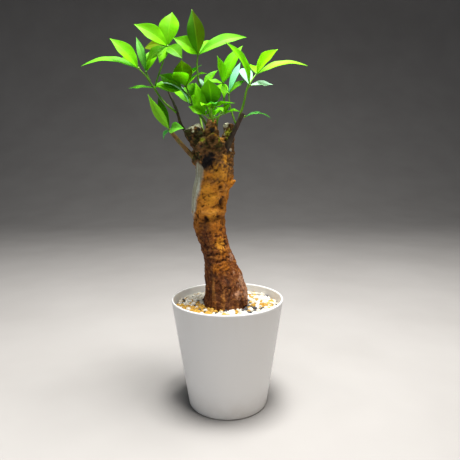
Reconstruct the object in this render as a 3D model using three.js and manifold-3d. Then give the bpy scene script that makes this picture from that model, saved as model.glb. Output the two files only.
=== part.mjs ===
// Potted baobab: a young trunk that was cut back hard and has sprouted again, in a tapered white pot.
// Millimetres, +Z up. The origin is the centre of the pot's base, on the surface that it stands on.
// The front of the plant, as it is usually seen, is on the -Y side.

import * as THREE from "three";
import { mergeVertices } from "three/addons/utils/BufferGeometryUtils.js";
import Module from "manifold-3d";

const wasm = await Module();
wasm.setup();

// Clearance between pieces that lie against each other, and the weld distance for shared vertices
const FIT = 0.3;
const WELD = 1e-4;
const SEED = 20;

// Pot: a common 12 cm nursery pot
const POT_RIM_R = 60;
const POT_BASE_R = 43;
const POT_HEIGHT = 118.5;
const POT_WALL = 1.8;
const POT_FLOOR = 2.2;
const POT_SEGMENTS = 36;
const BASE_EDGE_R = 2.4;
const RIM_EDGE_R = 1.3;
const CURVE_STEPS = 2;
const FOOT_RECESS = 2;
const PAD_R = 13;
const FOOT_RING_WIDTH = 4;
const FOOT_DRAFT = 1;
const DRAIN_HOLES = 6;
const DRAIN_HOLE_R = 4;
const DRAIN_HOLE_SIDES = 12;
const DRAIN_RING_R = 25;

// Substrate: a bed of fine mix, topped with crushed grains, drawn a little larger than life
const SOIL_LEVEL = 108.5;
const SOIL_CROWN = 1.2;
const BED_EDGE_DROP = 1;
const BED_RINGS = 9;
const BED_HOLE_R = 16;
const BED_ROUGHNESS = 1.3;
const GRAINS = 40;
const GRAIN_SIZE = [4.4, 7];
const GRAIN_WIDTH_SHARE = [0.6, 0.9];
const GRAIN_HEIGHT_SHARE = 0.8;
const GRAIN_TILT = 0.5;
const GRAIN_RISE = [0.4, 1.4];
const GRAIN_RING = [26, 51];
const GOLDEN_ANGLE = Math.PI * (3 - Math.sqrt(5));

// Trunk: height, centre x, centre y and radius, from the tip of the taproot up to the crown
const TRUNK_LINE = [
  [34, 4, 2, 1.6],
  [44, 3, 2, 5],
  [58, 1, 1, 11],
  [74, 0, 0, 18],
  [92, -1, 0, 24],
  [110, -1, 0, 24.2],
  [132, -2, 0, 22],
  [152, -6, -1, 18.3],
  [172, -11.5, -2, 16],
  [192, -17.5, -2, 16],
  [214, -18.4, -1, 17.7],
  [234, -15.5, 0, 19.4],
  [252, -12, 0, 19],
  [268, -13.5, 0, 19],
  [280, -15, 0, 17.6],
  [287, -15, 0, 13],
];
const TRUNK_SIDES = 20;
const RING_STEP = 5.8;
const BURIED_RING_STEP = 13;

// Roots: where each leaves the trunk, where it ends, and its radius at either end. Each bends at a knee,
// which lies a share of the way along and is lifted off the straight line.
const ROOTS = [
  { from: [10, -6, 84], to: [37, -15, 52], radii: [6, 1.8] },
  { from: [2, 10, 82], to: [12, 36, 48], radii: [5.5, 1.6] },
  { from: [-10, 6, 80], to: [-34, 16, 50], radii: [5.5, 1.7] },
  { from: [-8, -10, 86], to: [-24, -32, 54], radii: [6, 1.8] },
];
const ROOT_KNEE_SHARE = 0.65;
const ROOT_KNEE_LIFT = 8;

// Bark relief: waves that run round and up the trunk, folds at its foot, and local dents and bumps.
// It fades in above the substrate over the two heights given.
const RELIEF_FADE = [2, 14];
const BARK_WAVES = [
  { lobes: 3, pitch: 195, depth: 0.6 },
  { lobes: 5, pitch: -107, depth: 0.45 },
  { lobes: 1, pitch: 17, depth: 0.3 },
  { lobes: 2, pitch: -26, depth: 0.25 },
];
const FOOT_FOLDS = { height: 112, span: 26, lobes: 6, depth: 1.1 };
const BARK_MARKS = {
  front_crevice: { height: 225, span: 11, angle: 322, spread: 14, depth: -2.6 },
  back_crevice: { height: 190, span: 16, angle: 80, spread: 15, depth: -2.2 },
  swirl_knot: { height: 128, span: 6, angle: 310, spread: 17, depth: 1.8 },
  collar: { height: 207, span: 5, angle: 270, spread: 400, depth: 0.9 },
  waist: { height: 197, span: 5, angle: 270, spread: 400, depth: -0.8 },
};

// Crown: stubs, knots and lumps of the old cuts, as routes with the radius at each point
const STUBS = {
  round_stub: { route: [[-22, 2, 278], [-29, 0, 286], [-35, -3, 298.5]], radii: [8, 9.8, 8.6] },
  tall_stub: { route: [[-14, -2, 280], [-14, -6, 292], [-14, -4, 306]], radii: [9, 7, 4.6] },
  pale_stub: { route: [[0, 2, 272], [2, 0, 286], [3, -1, 302]], radii: [9, 7, 5] },
  ring_knot: { route: [[-13, -8, 282], [-13, -14, 284], [-13, -19.5, 285]], radii: [7, 7, 5.6] },
  small_knot: { route: [[-24, -8, 277], [-25, -14, 278], [-25.5, -18, 279]], radii: [5.5, 5, 3.6] },
  left_shoulder: { route: [[-24, 0, 264], [-31, -2, 267], [-35, -4, 269]], radii: [8, 6.5, 4] },
  right_shoulder: { route: [[-2, 0, 268], [2, -3, 271], [5, -5, 275]], radii: [9, 7, 4.5] },
  back_stub: { route: [[-16, 8, 276], [-17, 13, 286], [-18, 17, 295]], radii: [8, 7.5, 6] },
  back_knot: { route: [[-28, 6, 268], [-33, 11, 272], [-36, 14, 275]], radii: [7, 5.5, 3.6] },
  spur: { route: [[-2, -2, 238], [5, -4, 241], [9.5, -5, 244]], radii: [6, 4, 1.4] },
  small_spur: { route: [[2, 4, 290], [6, 3, 297], [7.5, 2, 302]], radii: [3, 2.2, 1.2] },
};
const STUB_SIDES = 7;
const KNOT_HOLE = { route: [[-13, -16.5, 284.6], [-13, -22, 285.4]], radii: [2.4, 3] };

// Peeling strip of bark on the left of the trunk
const PEEL_HEIGHTS = [206, 259];
const PEEL_ANGLES = [176, 187, 198];
const PEEL_THICKNESS = 0.9;

// Brown twigs, seated in the crown
const TWIGS = {
  twig_left: {
    route: [[-25, -2, 262], [-34, -4, 269], [-44, -9, 280], [-54.5, -16, 293]],
    radii: [3.8, 2.5],
  },
  twig_dead: {
    route: [[-37, 0, 290], [-46, 2, 301], [-50, 0, 315], [-58, -2, 334.5]],
    radii: [2, 1.1],
  },
  twig_right: {
    route: [[-4, -6, 266], [0, -8, 276], [8.4, -10, 294], [17.3, -12, 311]],
    radii: [4.4, 2.2],
  },
};
const TWIG_SIDES = 8;

// Leaflets: share of the length, and share of the half width there
const BLADE_OUTLINE = [
  [0, 0.12],
  [0.16, 0.56],
  [0.38, 0.97],
  [0.63, 0.88],
  [0.86, 0.35],
  [1, 0.06],
];
const BLADE_START = 1.1;
const BLADE_THICKNESS = 0.8;
const RIB_DEPTH = 0.3;
const BLADE_FOLD = 0.26;
const BLADE_ARCH = 0.09;
const MARGIN_WAVE = 0.7;
const MARGIN_WAVE_RATE = 7;
const NODE_R = 2.3;
const PETIOLE_RADII = [1.05, 0.95];
const STEM_SIDES = 5;
const STEPS_PER_SPAN = 1.2;

// Green shoots. A leaf has the route of its petiole, the direction that its fan faces and its leaflets.
// A direction is [azimuth, elevation] in degrees, azimuth 0 along +X and 270 towards the front.
// A leaflet is [azimuth, elevation, length, width], then the rise of its arch where that is its own.
const SHOOTS = {
  leaves_low_left: {
    seat: "twig_left",
    route: [[-52.2, -14.5, 290.1], [-54, -15.7, 292.4], [-55.6, -16.8, 295]],
    radii: [1.3, 1.2],
    leaves: [
      {
        route: [[-54.5, -16, 293], [-55.6, -16.8, 295]],
        facing: [250, 20],
        leaflets: [
          [207, 58, 39, 9], [146, 68, 35, 10], [305, -2, 28, 11], [112, -18, 25, 7], [120, 40, 32, 9],
        ],
      },
    ],
  },
  shoot_left: {
    seat: "twig_dead",
    route: [[-50.4, -0.2, 313.2], [-54, -0.8, 316.4], [-62, -1, 323], [-72, -2, 337], [-79, -3, 348]],
    radii: [1.5, 1.1],
    leaves: [
      {
        route: [[-79, -3, 348], [-83, -5, 352], [-86.5, -6, 356]],
        facing: [250, 50],
        leaflets: [[187, 1, 55, 12, 0.13], [198, 45, 37, 17], [133, 22, 38, 14]],
      },
      {
        route: [[-76, -2.5, 344], [-79.8, -2, 353]],
        facing: [265, 45],
        leaflets: [[140, 70, 38, 8], [64, 51, 34, 14], [85, 56, 26, 8]],
      },
      {
        route: [[-70, -1.8, 334.5], [-72, -3, 338]],
        facing: [270, 60],
        leaflets: [[170, 0, 27, 6, 0.03], [312, -16, 25, 12], [30, 15, 18, 10]],
      },
      {
        route: [[-72, -2, 337], [-67.6, -4, 348], [-62, -9, 360], [-55.5, -16, 374]],
        facing: [266, 32],
        leaflets: [
          [205, 27, 36, 18], [67, 74, 35, 20], [313, -33, 28, 15, 0.07], [140, 5, 36, 16],
          [235, -55, 22, 11], [198, -38, 27, 12],
        ],
      },
    ],
  },
  shoot_mid_left: {
    seat: "trunk",
    route: [[-17.5, 0, 294], [-21, -5, 303], [-27, -9.5, 311], [-32.5, -12, 317.4]],
    radii: [1.9, 1.2],
    leaves: [
      {
        route: [[-27, -9.5, 311], [-35, -12.5, 320]],
        facing: [250, 65],
        leaflets: [[200, 31, 36, 12, 0.18], [127, 30, 37, 14], [88, 39, 41, 15]],
      },
      {
        route: [[-32.5, -12, 317.4], [-35, -13, 327], [-39, -14, 337]],
        facing: [200, 78],
        leaflets: [
          [261, 55, 26, 19], [53, 28, 36, 12], [58, 42, 37, 9], [245, 22, 24, 17],
        ],
      },
      {
        route: [[-35, -13, 327], [-42, -16, 333]],
        facing: [262, 25],
        leaflets: [[178, 33, 27, 15], [190, 8, 22, 12]],
      },
    ],
  },
  shoot_centre: {
    seat: "trunk",
    route: [
      [-14, -3, 298], [-15.6, -4, 308], [-20, -6, 320], [-23.6, -8, 332], [-27, -10, 345], [-28, -10, 358],
    ],
    radii: [1.9, 1.1],
    leaves: [
      {
        route: [[-27, -10, 345], [-28, -10, 358], [-26.7, -10, 367.5]],
        facing: [272, 28],
        leaflets: [
          [228, 81, 41, 17], [15, 22, 53, 13, 0.13], [201, 29, 28, 18], [104, 27, 46, 16],
          [60, 28, 40, 13],
        ],
      },
      {
        route: [[-20.6, -6.4, 322], [-22.5, -10, 330], [-21.8, -12, 336.5]],
        facing: [270, 45],
        leaflets: [[40, 45, 25, 8], [140, 60, 10, 4]],
      },
    ],
  },
  shoot_mid_right: {
    seat: "trunk",
    route: [[-10, -4, 297], [-8, -7, 307], [-2, -10, 315], [-1.3, -13, 321], [-2.5, -16, 332]],
    radii: [1.7, 1.1],
    leaves: [
      {
        route: [[-1.3, -13, 321], [-2.5, -16, 332], [-2.4, -18, 339]],
        facing: [270, 50],
        leaflets: [
          [249, 60, 26, 10], [25, 61, 42, 13], [75, 35, 28, 12], [277, -60, 18, 7], [200, -5, 20, 8],
        ],
      },
    ],
  },
  shoot_right: {
    seat: "trunk",
    route: [[6, 0, 288], [11, -2, 298.5], [14, -4, 309], [18, -5, 321], [21, -7, 334], [23, -8, 339]],
    radii: [1.8, 1.2],
    leaves: [
      {
        route: [[21, -7, 334], [24, -8, 338.5]],
        facing: [270, 50],
        leaflets: [[221, 49, 48, 15, 0.12], [102, 36, 38, 13], [28, 5, 28, 9, 0.05]],
      },
      {
        route: [[23, -8, 339], [27, -5, 345], [31, -2, 350.5]],
        facing: [270, 50],
        leaflets: [[330, 42, 31, 20], [9, 10, 54, 10, 0.12], [90, 23, 35, 13]],
      },
      {
        route: [[11, -2, 299], [7, -1, 310], [4, 0, 321], [3, 1, 332]],
        facing: [270, 50],
        leaflets: [[60, 54, 43, 7], [14, 38, 22, 7], [120, 20, 32, 12]],
      },
      {
        route: [[13.4, -3.8, 307], [19, -6, 308.5]],
        facing: [270, 75],
        leaflets: [[20, -2, 29, 6, 0.15]],
      },
    ],
  },
  shoot_front: {
    seat: "trunk",
    route: [[-12.4, -7.6, 299], [-13, -11.5, 304.5], [-14, -17, 309], [-14, -22, 315]],
    radii: [1.6, 1.1],
    leaves: [
      {
        route: [[-14, -17, 309], [-14, -22, 315]],
        facing: [60, 80],
        leaflets: [
          [265, 56, 29, 20], [252, -2, 25, 12], [281, 4, 22, 8], [300, -15, 24, 10], [345, 8, 24, 8],
          [165, 32, 24, 11],
        ],
      },
      {
        route: [[-13.2, -13, 306], [-8, -15.5, 307.5], [-1, -14, 311]],
        facing: [270, 75],
        leaflets: [[322, 4, 16, 7], [285, 28, 16, 7], [12, 6, 16, 7]],
      },
      {
        route: [[-13.2, -13, 306], [-17, -17, 306], [-20, -20, 309]],
        facing: [265, 20],
        leaflets: [[198, 72, 31, 10], [190, 25, 18, 8], [285, -5, 13, 7]],
      },
    ],
  },
  shoot_back_left: {
    seat: "trunk",
    route: [[-21, 7, 280], [-24, 15, 293], [-27, 22, 307], [-29, 26, 318]],
    radii: [2, 1.1],
    leaves: [
      {
        route: [[-27, 22, 307], [-29, 26, 318]],
        facing: [120, 65],
        leaflets: [
          [165, 55, 30, 12], [130, 45, 38, 14], [95, 22, 36, 14], [60, 64, 30, 11], [240, 40, 26, 10],
        ],
      },
    ],
  },
  shoot_back_right: {
    seat: "trunk",
    route: [[-6, 8, 276], [-9, 17, 290], [-12, 26, 303], [-13, 30, 313]],
    radii: [2.1, 1.1],
    leaves: [
      {
        route: [[-12, 26, 303], [-13, 30, 313]],
        facing: [85, 65],
        leaflets: [
          [52, 24, 32, 13], [88, 14, 35, 14], [127, 18, 30, 13], [60, 58, 26, 10], [205, 55, 22, 9],
        ],
      },
    ],
  },
};

// Finishes: colour, roughness
const FINISHES = {
  pot: [0xe9ecef, 0.42],
  substrate: [0xc9b68e, 0.95],
  trunk: [0x94561f, 0.9],
  bark_peel: [0xa9a48a, 0.7],
  twig: [0x4f3524, 0.85],
  shoot: [0x62b51b, 0.45],
};

// Helpers

function seededRandom(seed) {
  let state = seed;
  return () => {
    state = (state * 1664525 + 1013904223) % 4294967296;
    return state / 4294967296;
  };
}

const random = seededRandom(SEED);
const between = (low, high) => low + (high - low) * random();
const vector = ([x, y, z]) => new THREE.Vector3(x, y, z);

function direction([azimuth, elevation]) {
  const turn = THREE.MathUtils.degToRad(azimuth);
  const lift = THREE.MathUtils.degToRad(elevation);
  const flat = Math.cos(lift);
  return new THREE.Vector3(flat * Math.cos(turn), flat * Math.sin(turn), Math.sin(lift));
}

function geometryFrom(triangles) {
  return new THREE.BufferGeometry().setFromPoints(triangles);
}

// A closed solid of a geometry, ready to be joined or cut
function solid(geometry) {
  geometry.deleteAttribute("normal");
  geometry.deleteAttribute("uv");
  const welded = mergeVertices(geometry, WELD);
  return new wasm.Manifold(
    new wasm.Mesh({
      numProp: 3,
      vertProperties: welded.attributes.position.array,
      triVerts: Uint32Array.from(welded.index.array),
    }),
  );
}

const join = (solids) => solids.reduce((whole, piece) => whole.add(piece));

function geometryOf(piece) {
  const { vertProperties, triVerts } = piece.getMesh();
  const geometry = new THREE.BufferGeometry();
  geometry.setAttribute("position", new THREE.BufferAttribute(vertProperties, 3));
  geometry.setIndex(new THREE.BufferAttribute(triVerts, 1));
  return geometry;
}

// A solid through a stack of rings, with each end closed by a fan
function loft(rings) {
  const triangles = [];
  const count = rings[0].length;
  for (let level = 0; level + 1 < rings.length; level += 1) {
    const [lower, upper] = [rings[level], rings[level + 1]];
    for (let i = 0; i < count; i += 1) {
      const next = (i + 1) % count;
      triangles.push(lower[i], lower[next], upper[next]);
      triangles.push(lower[i], upper[next], upper[i]);
    }
  }
  const middle = (ring) => ring.reduce((sum, p) => sum.add(p), new THREE.Vector3()).divideScalar(count);
  const [first, last] = [rings[0], rings.at(-1)];
  const [start, end] = [middle(first), middle(last)];
  for (let i = 0; i < count; i += 1) {
    const next = (i + 1) % count;
    triangles.push(start, first[next], first[i]);
    triangles.push(end, last[i], last[next]);
  }
  return solid(geometryFrom(triangles));
}

// A tapered round stem along a smooth route, with a radius for each end or for each point
function stem(route, radii, sides, grow = 0) {
  const curve = new THREE.CatmullRomCurve3(route.map(vector));
  const steps = Math.max(1, Math.round(STEPS_PER_SPAN * (route.length - 1)));
  const frames = curve.computeFrenetFrames(steps, false);
  const rings = [];
  for (let step = 0; step <= steps; step += 1) {
    const along = (step / steps) * (radii.length - 1);
    const piece = Math.min(Math.floor(along), radii.length - 2);
    const radius = THREE.MathUtils.lerp(radii[piece], radii[piece + 1], along - piece) + grow;
    const centre = curve.getPointAt(step / steps);
    const ring = [];
    for (let i = 0; i < sides; i += 1) {
      const angle = (2 * Math.PI * i) / sides;
      const spoke = frames.normals[step].clone().multiplyScalar(Math.cos(angle) * radius);
      spoke.addScaledVector(frames.binormals[step], Math.sin(angle) * radius);
      ring.push(centre.clone().add(spoke));
    }
    rings.push(ring);
  }
  return loft(rings);
}

// A thin solid between two like grids of points, both split into triangles the same way
function plate(top, bottom) {
  const triangles = [];
  const quad = (a, b, c, d) => triangles.push(a, b, c, a, c, d);
  const [rows, columns] = [top.length, top[0].length];
  for (let row = 0; row + 1 < rows; row += 1) {
    for (let column = 0; column + 1 < columns; column += 1) {
      quad(top[row][column], top[row][column + 1], top[row + 1][column + 1], top[row + 1][column]);
      const under = [bottom[row][column], bottom[row][column + 1], bottom[row + 1][column + 1]];
      triangles.push(under[0], under[2], under[1]);
      triangles.push(under[0], bottom[row + 1][column], under[2]);
    }
    quad(top[row][0], top[row + 1][0], bottom[row + 1][0], bottom[row][0]);
    const edge = columns - 1;
    quad(top[row][edge], bottom[row][edge], bottom[row + 1][edge], top[row + 1][edge]);
  }
  const end = rows - 1;
  for (let column = 0; column + 1 < columns; column += 1) {
    quad(top[0][column], bottom[0][column], bottom[0][column + 1], top[0][column + 1]);
    quad(top[end][column], top[end][column + 1], bottom[end][column + 1], bottom[end][column]);
  }
  return solid(geometryFrom(triangles));
}

// Pot

const potShoulder = POT_HEIGHT - RIM_EDGE_R;
const potOuterRadius = (z) => THREE.MathUtils.mapLinear(z, 0, potShoulder, POT_BASE_R, POT_RIM_R);
const potInnerRadius = (z) => potOuterRadius(z) - POT_WALL;
const potFloorTop = FOOT_RECESS + POT_FLOOR;

function pot() {
  const outline = new THREE.Path();
  const ringR = POT_BASE_R - BASE_EDGE_R - FOOT_RING_WIDTH;
  outline.moveTo(0, 0);
  outline.lineTo(PAD_R, 0);
  outline.lineTo(PAD_R + FOOT_DRAFT, FOOT_RECESS);
  outline.lineTo(ringR - FOOT_DRAFT, FOOT_RECESS);
  outline.lineTo(ringR, 0);
  outline.lineTo(POT_BASE_R - BASE_EDGE_R, 0);
  outline.quadraticCurveTo(POT_BASE_R, 0, potOuterRadius(BASE_EDGE_R), BASE_EDGE_R);
  outline.lineTo(POT_RIM_R, potShoulder);
  outline.quadraticCurveTo(POT_RIM_R, POT_HEIGHT, POT_RIM_R - POT_WALL / 2, POT_HEIGHT);
  outline.quadraticCurveTo(POT_RIM_R - POT_WALL, POT_HEIGHT, potInnerRadius(potShoulder), potShoulder);
  outline.lineTo(potInnerRadius(potFloorTop), potFloorTop);
  outline.lineTo(0, potFloorTop);
  const shell = new THREE.LatheGeometry(outline.getPoints(CURVE_STEPS), POT_SEGMENTS);
  shell.rotateX(Math.PI / 2);
  const holes = [];
  for (let i = 0; i < DRAIN_HOLES; i += 1) {
    const angle = (2 * Math.PI * i) / DRAIN_HOLES;
    const hole = new THREE.CylinderGeometry(DRAIN_HOLE_R, DRAIN_HOLE_R, 4 * POT_FLOOR, DRAIN_HOLE_SIDES);
    hole.rotateX(Math.PI / 2);
    hole.translate(DRAIN_RING_R * Math.cos(angle), DRAIN_RING_R * Math.sin(angle), potFloorTop);
    holes.push(solid(hole));
  }
  return solid(shell).subtract(join(holes));
}

// Trunk

const trunkLine = new THREE.CubicInterpolant(
  TRUNK_LINE.map(([z]) => z),
  TRUNK_LINE.flatMap(([, x, y, radius]) => [x, y, radius]),
  3,
  new Float32Array(3),
);

const bell = (offset, width) => Math.exp(-((offset / width) ** 2));

// Degrees from one direction round the trunk to another, from -180 to 180
function turnBetween(angle, degrees) {
  const turn = angle - THREE.MathUtils.degToRad(degrees);
  return THREE.MathUtils.radToDeg(Math.atan2(Math.sin(turn), Math.cos(turn)));
}

// How far the bark stands out at a place on the trunk
function barkRelief(z, angle) {
  const above = THREE.MathUtils.smoothstep(z - SOIL_LEVEL, ...RELIEF_FADE);
  let relief = 0;
  for (const { lobes, pitch, depth } of BARK_WAVES) {
    relief += depth * Math.cos(lobes * angle + (2 * Math.PI * z) / pitch);
  }
  for (const { height, span, angle: facing, spread, depth } of Object.values(BARK_MARKS)) {
    relief += depth * bell(z - height, span) * bell(turnBetween(angle, facing), spread);
  }
  const folds = FOOT_FOLDS;
  relief += folds.depth * bell(z - folds.height, folds.span) * Math.cos(folds.lobes * angle);
  return above * relief;
}

function trunkPoint(z, angle, grow = 0) {
  const [x, y, radius] = trunkLine.evaluate(z);
  const reach = radius + barkRelief(z, angle) + grow;
  return new THREE.Vector3(x + reach * Math.cos(angle), y + reach * Math.sin(angle), z);
}

const ringHeights = [];
for (let z = TRUNK_LINE[0][0]; z < TRUNK_LINE.at(-1)[0]; ) {
  ringHeights.push(z);
  z += z < SOIL_LEVEL - BURIED_RING_STEP ? BURIED_RING_STEP : RING_STEP;
}
ringHeights.push(TRUNK_LINE.at(-1)[0]);

function trunkBody(grow = 0) {
  const rings = ringHeights.map((z) => {
    const angles = Array.from({ length: TRUNK_SIDES }, (_, i) => (2 * Math.PI * i) / TRUNK_SIDES);
    return angles.map((angle) => trunkPoint(z, angle, grow));
  });
  return loft(rings);
}

function roots(grow = 0) {
  return ROOTS.map(({ from, to, radii }) => {
    const knee = vector(from).lerp(vector(to), ROOT_KNEE_SHARE);
    knee.z += ROOT_KNEE_LIFT;
    return stem([from, knee.toArray(), to], radii, STEM_SIDES, grow);
  });
}

function trunk(seated) {
  const stubs = Object.values(STUBS).map(({ route, radii }) => stem(route, radii, STUB_SIDES));
  const grown = join([trunkBody(), ...roots(), ...stubs]);
  return grown.subtract(join([stem(KNOT_HOLE.route, KNOT_HOLE.radii, STUB_SIDES), ...seated]));
}

function barkPeel() {
  const heights = ringHeights.filter((z) => z > PEEL_HEIGHTS[0] && z < PEEL_HEIGHTS[1]);
  const grid = (grow) =>
    heights.map((z) => PEEL_ANGLES.map((angle) => trunkPoint(z, THREE.MathUtils.degToRad(angle), grow)));
  return plate(grid(FIT + PEEL_THICKNESS), grid(FIT));
}

// Substrate

// The bed's top is a rough sheet of rings round the trunk, whose heights stand for the grains
function bed() {
  const side = potInnerRadius(SOIL_LEVEL) - FIT;
  const ringAt = (radius, z, rough) =>
    Array.from({ length: POT_SEGMENTS }, (_, i) => {
      const angle = (2 * Math.PI * i) / POT_SEGMENTS;
      const height = z + rough * between(-1, 1);
      return new THREE.Vector3(radius * Math.cos(angle), radius * Math.sin(angle), height);
    });
  const rings = [
    ringAt(potInnerRadius(potFloorTop) - FIT, potFloorTop + FIT, 0),
    ringAt(side, SOIL_LEVEL - BED_EDGE_DROP, 0),
  ];
  for (let i = 0; i < BED_RINGS; i += 1) {
    const radius = THREE.MathUtils.mapLinear(i + 0.5, 0, BED_RINGS, side, BED_HOLE_R);
    rings.push(ringAt(radius, SOIL_LEVEL + SOIL_CROWN * (1 - radius / side), BED_ROUGHNESS));
  }
  return loft(rings);
}

function substrate() {
  const grains = [];
  for (let i = 0; i < GRAINS; i += 1) {
    const share = (i + 0.5) / GRAINS;
    const [inner, outer] = GRAIN_RING;
    const reach = Math.sqrt(inner ** 2 + share * (outer ** 2 - inner ** 2));
    const angle = i * GOLDEN_ANGLE;
    const size = between(...GRAIN_SIZE);
    const width = size * between(...GRAIN_WIDTH_SHARE);
    const grain = new THREE.BoxGeometry(size, width, size * GRAIN_HEIGHT_SHARE);
    const tilt = () => between(-GRAIN_TILT, GRAIN_TILT);
    const turn = new THREE.Euler(tilt(), tilt(), between(0, Math.PI));
    grain.applyMatrix4(new THREE.Matrix4().makeRotationFromEuler(turn));
    grain.translate(reach * Math.cos(angle), reach * Math.sin(angle), SOIL_LEVEL + between(...GRAIN_RISE));
    grains.push(solid(grain));
  }
  return join([bed(), ...grains]).subtract(join([trunkBody(FIT), ...roots(FIT)]));
}

// Twigs and shoots

const twig = ({ route, radii }, grow = 0) => stem(route, radii, TWIG_SIDES, grow);
const shootStem = ({ route, radii }, grow = 0) => stem(route, radii, STEM_SIDES, grow);

function leaflet(base, facing, [azimuth, elevation, length, width, arch = BLADE_ARCH], phase) {
  const forward = direction([azimuth, elevation]);
  const up = facing.clone().addScaledVector(forward, -facing.dot(forward)).normalize();
  const left = up.clone().cross(forward);
  const row = ([along, share], lift, ribLift) => {
    const half = (width / 2) * share;
    const rise = arch * length * 4 * along * (1 - along);
    const reach = THREE.MathUtils.lerp(BLADE_START, length, along);
    return [1, 0, -1].map((side) => {
      const wave = side * MARGIN_WAVE * share * Math.sin(MARGIN_WAVE_RATE * along + phase);
      const height = rise + Math.abs(side) * half * BLADE_FOLD + wave + (side === 0 ? ribLift : lift);
      const point = base.clone().addScaledVector(forward, reach);
      return point.addScaledVector(left, side * half).addScaledVector(up, height);
    });
  };
  const thick = BLADE_THICKNESS / 2;
  const top = BLADE_OUTLINE.map((station) => row(station, thick, thick));
  const bottom = BLADE_OUTLINE.map((station) => row(station, -thick, -thick - RIB_DEPTH));
  return plate(top, bottom);
}

function leaf({ route, facing, leaflets }) {
  const node = vector(route.at(-1));
  const knob = new THREE.OctahedronGeometry(NODE_R, 0);
  knob.translate(node.x, node.y, node.z);
  const phase = () => between(0, 2 * Math.PI);
  const blades = leaflets.map((values) => leaflet(node, direction(facing), values, phase()));
  return join([stem(route, PETIOLE_RADII, STEM_SIDES), solid(knob), ...blades]);
}

const shoot = (plan) => join([shootStem(plan), ...plan.leaves.map(leaf)]);

// The whole plant in its pot

const seatedOn = (carrier) =>
  Object.values(SHOOTS)
    .filter(({ seat }) => seat === carrier)
    .map((plan) => shootStem(plan, FIT));

const plant = new THREE.Group();

function add(name, piece, [color, roughness]) {
  const material = new THREE.MeshStandardMaterial({ color, roughness, metalness: 0 });
  const mesh = new THREE.Mesh(geometryOf(piece), material);
  mesh.name = name;
  plant.add(mesh);
}

add("pot", pot(), FINISHES.pot);
add("substrate", substrate(), FINISHES.substrate);
const twigSeats = Object.values(TWIGS).map((plan) => twig(plan, FIT));
add("trunk", trunk([...twigSeats, ...seatedOn("trunk")]), FINISHES.trunk);
add("bark_peel", barkPeel(), FINISHES.bark_peel);
for (const [name, plan] of Object.entries(TWIGS)) {
  const seated = seatedOn(name);
  add(name, seated.length ? twig(plan).subtract(join(seated)) : twig(plan), FINISHES.twig);
}
for (const [name, plan] of Object.entries(SHOOTS)) {
  add(name, shoot(plan), FINISHES.shoot);
}

export default plant;
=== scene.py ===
# %% [markdown]
# # A cut-back baobab in a white pot
#
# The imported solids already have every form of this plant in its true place: the pot, its filling, the
# swollen trunk, the twigs and the leafy shoots. Solids are plain, though. This lesson gives each of them
# what a plant has to the eye: rough bark with cracks, loose grit, thin leaves that glow where the light
# comes through them, and a smooth moulded pot.
#
# Everything is in metres, in the frame of the solids: the origin is the centre of the pot's base, Z points
# up and the plant's front is towards -Y. Lengths are written in millimetres, as a maker would measure
# them, and are multiplied by `MM` where they are used.

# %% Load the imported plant
import math
import random
from contextlib import contextmanager

import bmesh
import bpy
import numpy as np
from mathutils import Euler, Matrix, Vector, noise


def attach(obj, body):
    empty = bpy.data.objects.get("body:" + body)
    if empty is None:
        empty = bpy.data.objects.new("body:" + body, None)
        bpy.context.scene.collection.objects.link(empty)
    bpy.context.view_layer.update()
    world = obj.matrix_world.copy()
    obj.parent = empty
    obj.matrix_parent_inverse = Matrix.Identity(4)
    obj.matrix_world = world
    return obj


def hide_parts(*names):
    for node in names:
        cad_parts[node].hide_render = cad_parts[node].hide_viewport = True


MM = 0.001
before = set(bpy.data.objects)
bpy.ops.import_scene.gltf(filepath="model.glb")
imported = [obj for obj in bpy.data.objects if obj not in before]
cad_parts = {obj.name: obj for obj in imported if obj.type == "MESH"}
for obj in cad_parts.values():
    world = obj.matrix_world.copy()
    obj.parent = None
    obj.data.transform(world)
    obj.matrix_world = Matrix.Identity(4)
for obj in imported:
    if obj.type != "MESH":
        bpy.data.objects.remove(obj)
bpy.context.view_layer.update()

# %% [markdown]
# ## The camera
#
# The camera stands about half a metre away, a little above the middle of the plant, with a wide lens. The
# rim's ellipse and the pot's straight sides say where. Blender's lens is a focal length for a sensor 36 mm
# wide. The plain colour transform keeps greens as strong as they are mixed.

# %% Set the camera
CAMERA_PLACE = (3.4, -465, 260)
CAMERA_PITCH = -8.33
CAMERA_ROLL = 0.39
CAMERA_LENS = 34.67

tilt = Matrix.Rotation(math.radians(90 + CAMERA_PITCH), 3, "X")
roll = Matrix.Rotation(math.radians(-CAMERA_ROLL), 3, "Z")
bpy.ops.object.camera_add(location=[v * MM for v in CAMERA_PLACE], rotation=(tilt @ roll).to_euler())
camera = bpy.context.object
camera.data.lens = CAMERA_LENS
camera.data.clip_start = 0.01
bpy.context.scene.camera = camera
bpy.context.scene.view_settings.view_transform = "Standard"
print("camera at", [round(v, 3) for v in camera.location])

# %% [markdown]
# ## Helpers for working by hand
#
# An operator acts on whatever is selected, so each step starts by picking one object and nothing else.
# `named` gives the newest object its name, `settle` writes its place into its mesh, `finish_with` adds a
# modifier and applies it at once, `joined` makes one object of several, and `copied` gives a copy with a
# mesh of its own.

# %% Picking, naming and finishing
def pick(*objects):
    bpy.ops.object.select_all(action="DESELECT")
    for obj in objects:
        obj.select_set(True)
    bpy.context.view_layer.objects.active = objects[0]


def named(name):
    obj = bpy.context.object
    obj.name = name
    obj.data.name = name
    return obj


def settle(obj):
    pick(obj)
    bpy.ops.object.transform_apply(location=True, rotation=True, scale=True)
    return obj


def finish_with(obj, kind, **settings):
    pick(obj)
    modifier = obj.modifiers.new(kind.lower(), kind)
    for key, value in settings.items():
        setattr(modifier, key, value)
    bpy.ops.object.modifier_apply(modifier=modifier.name)


def joined(objects, name):
    pick(*objects)
    bpy.ops.object.join()
    return named(name)


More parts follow.
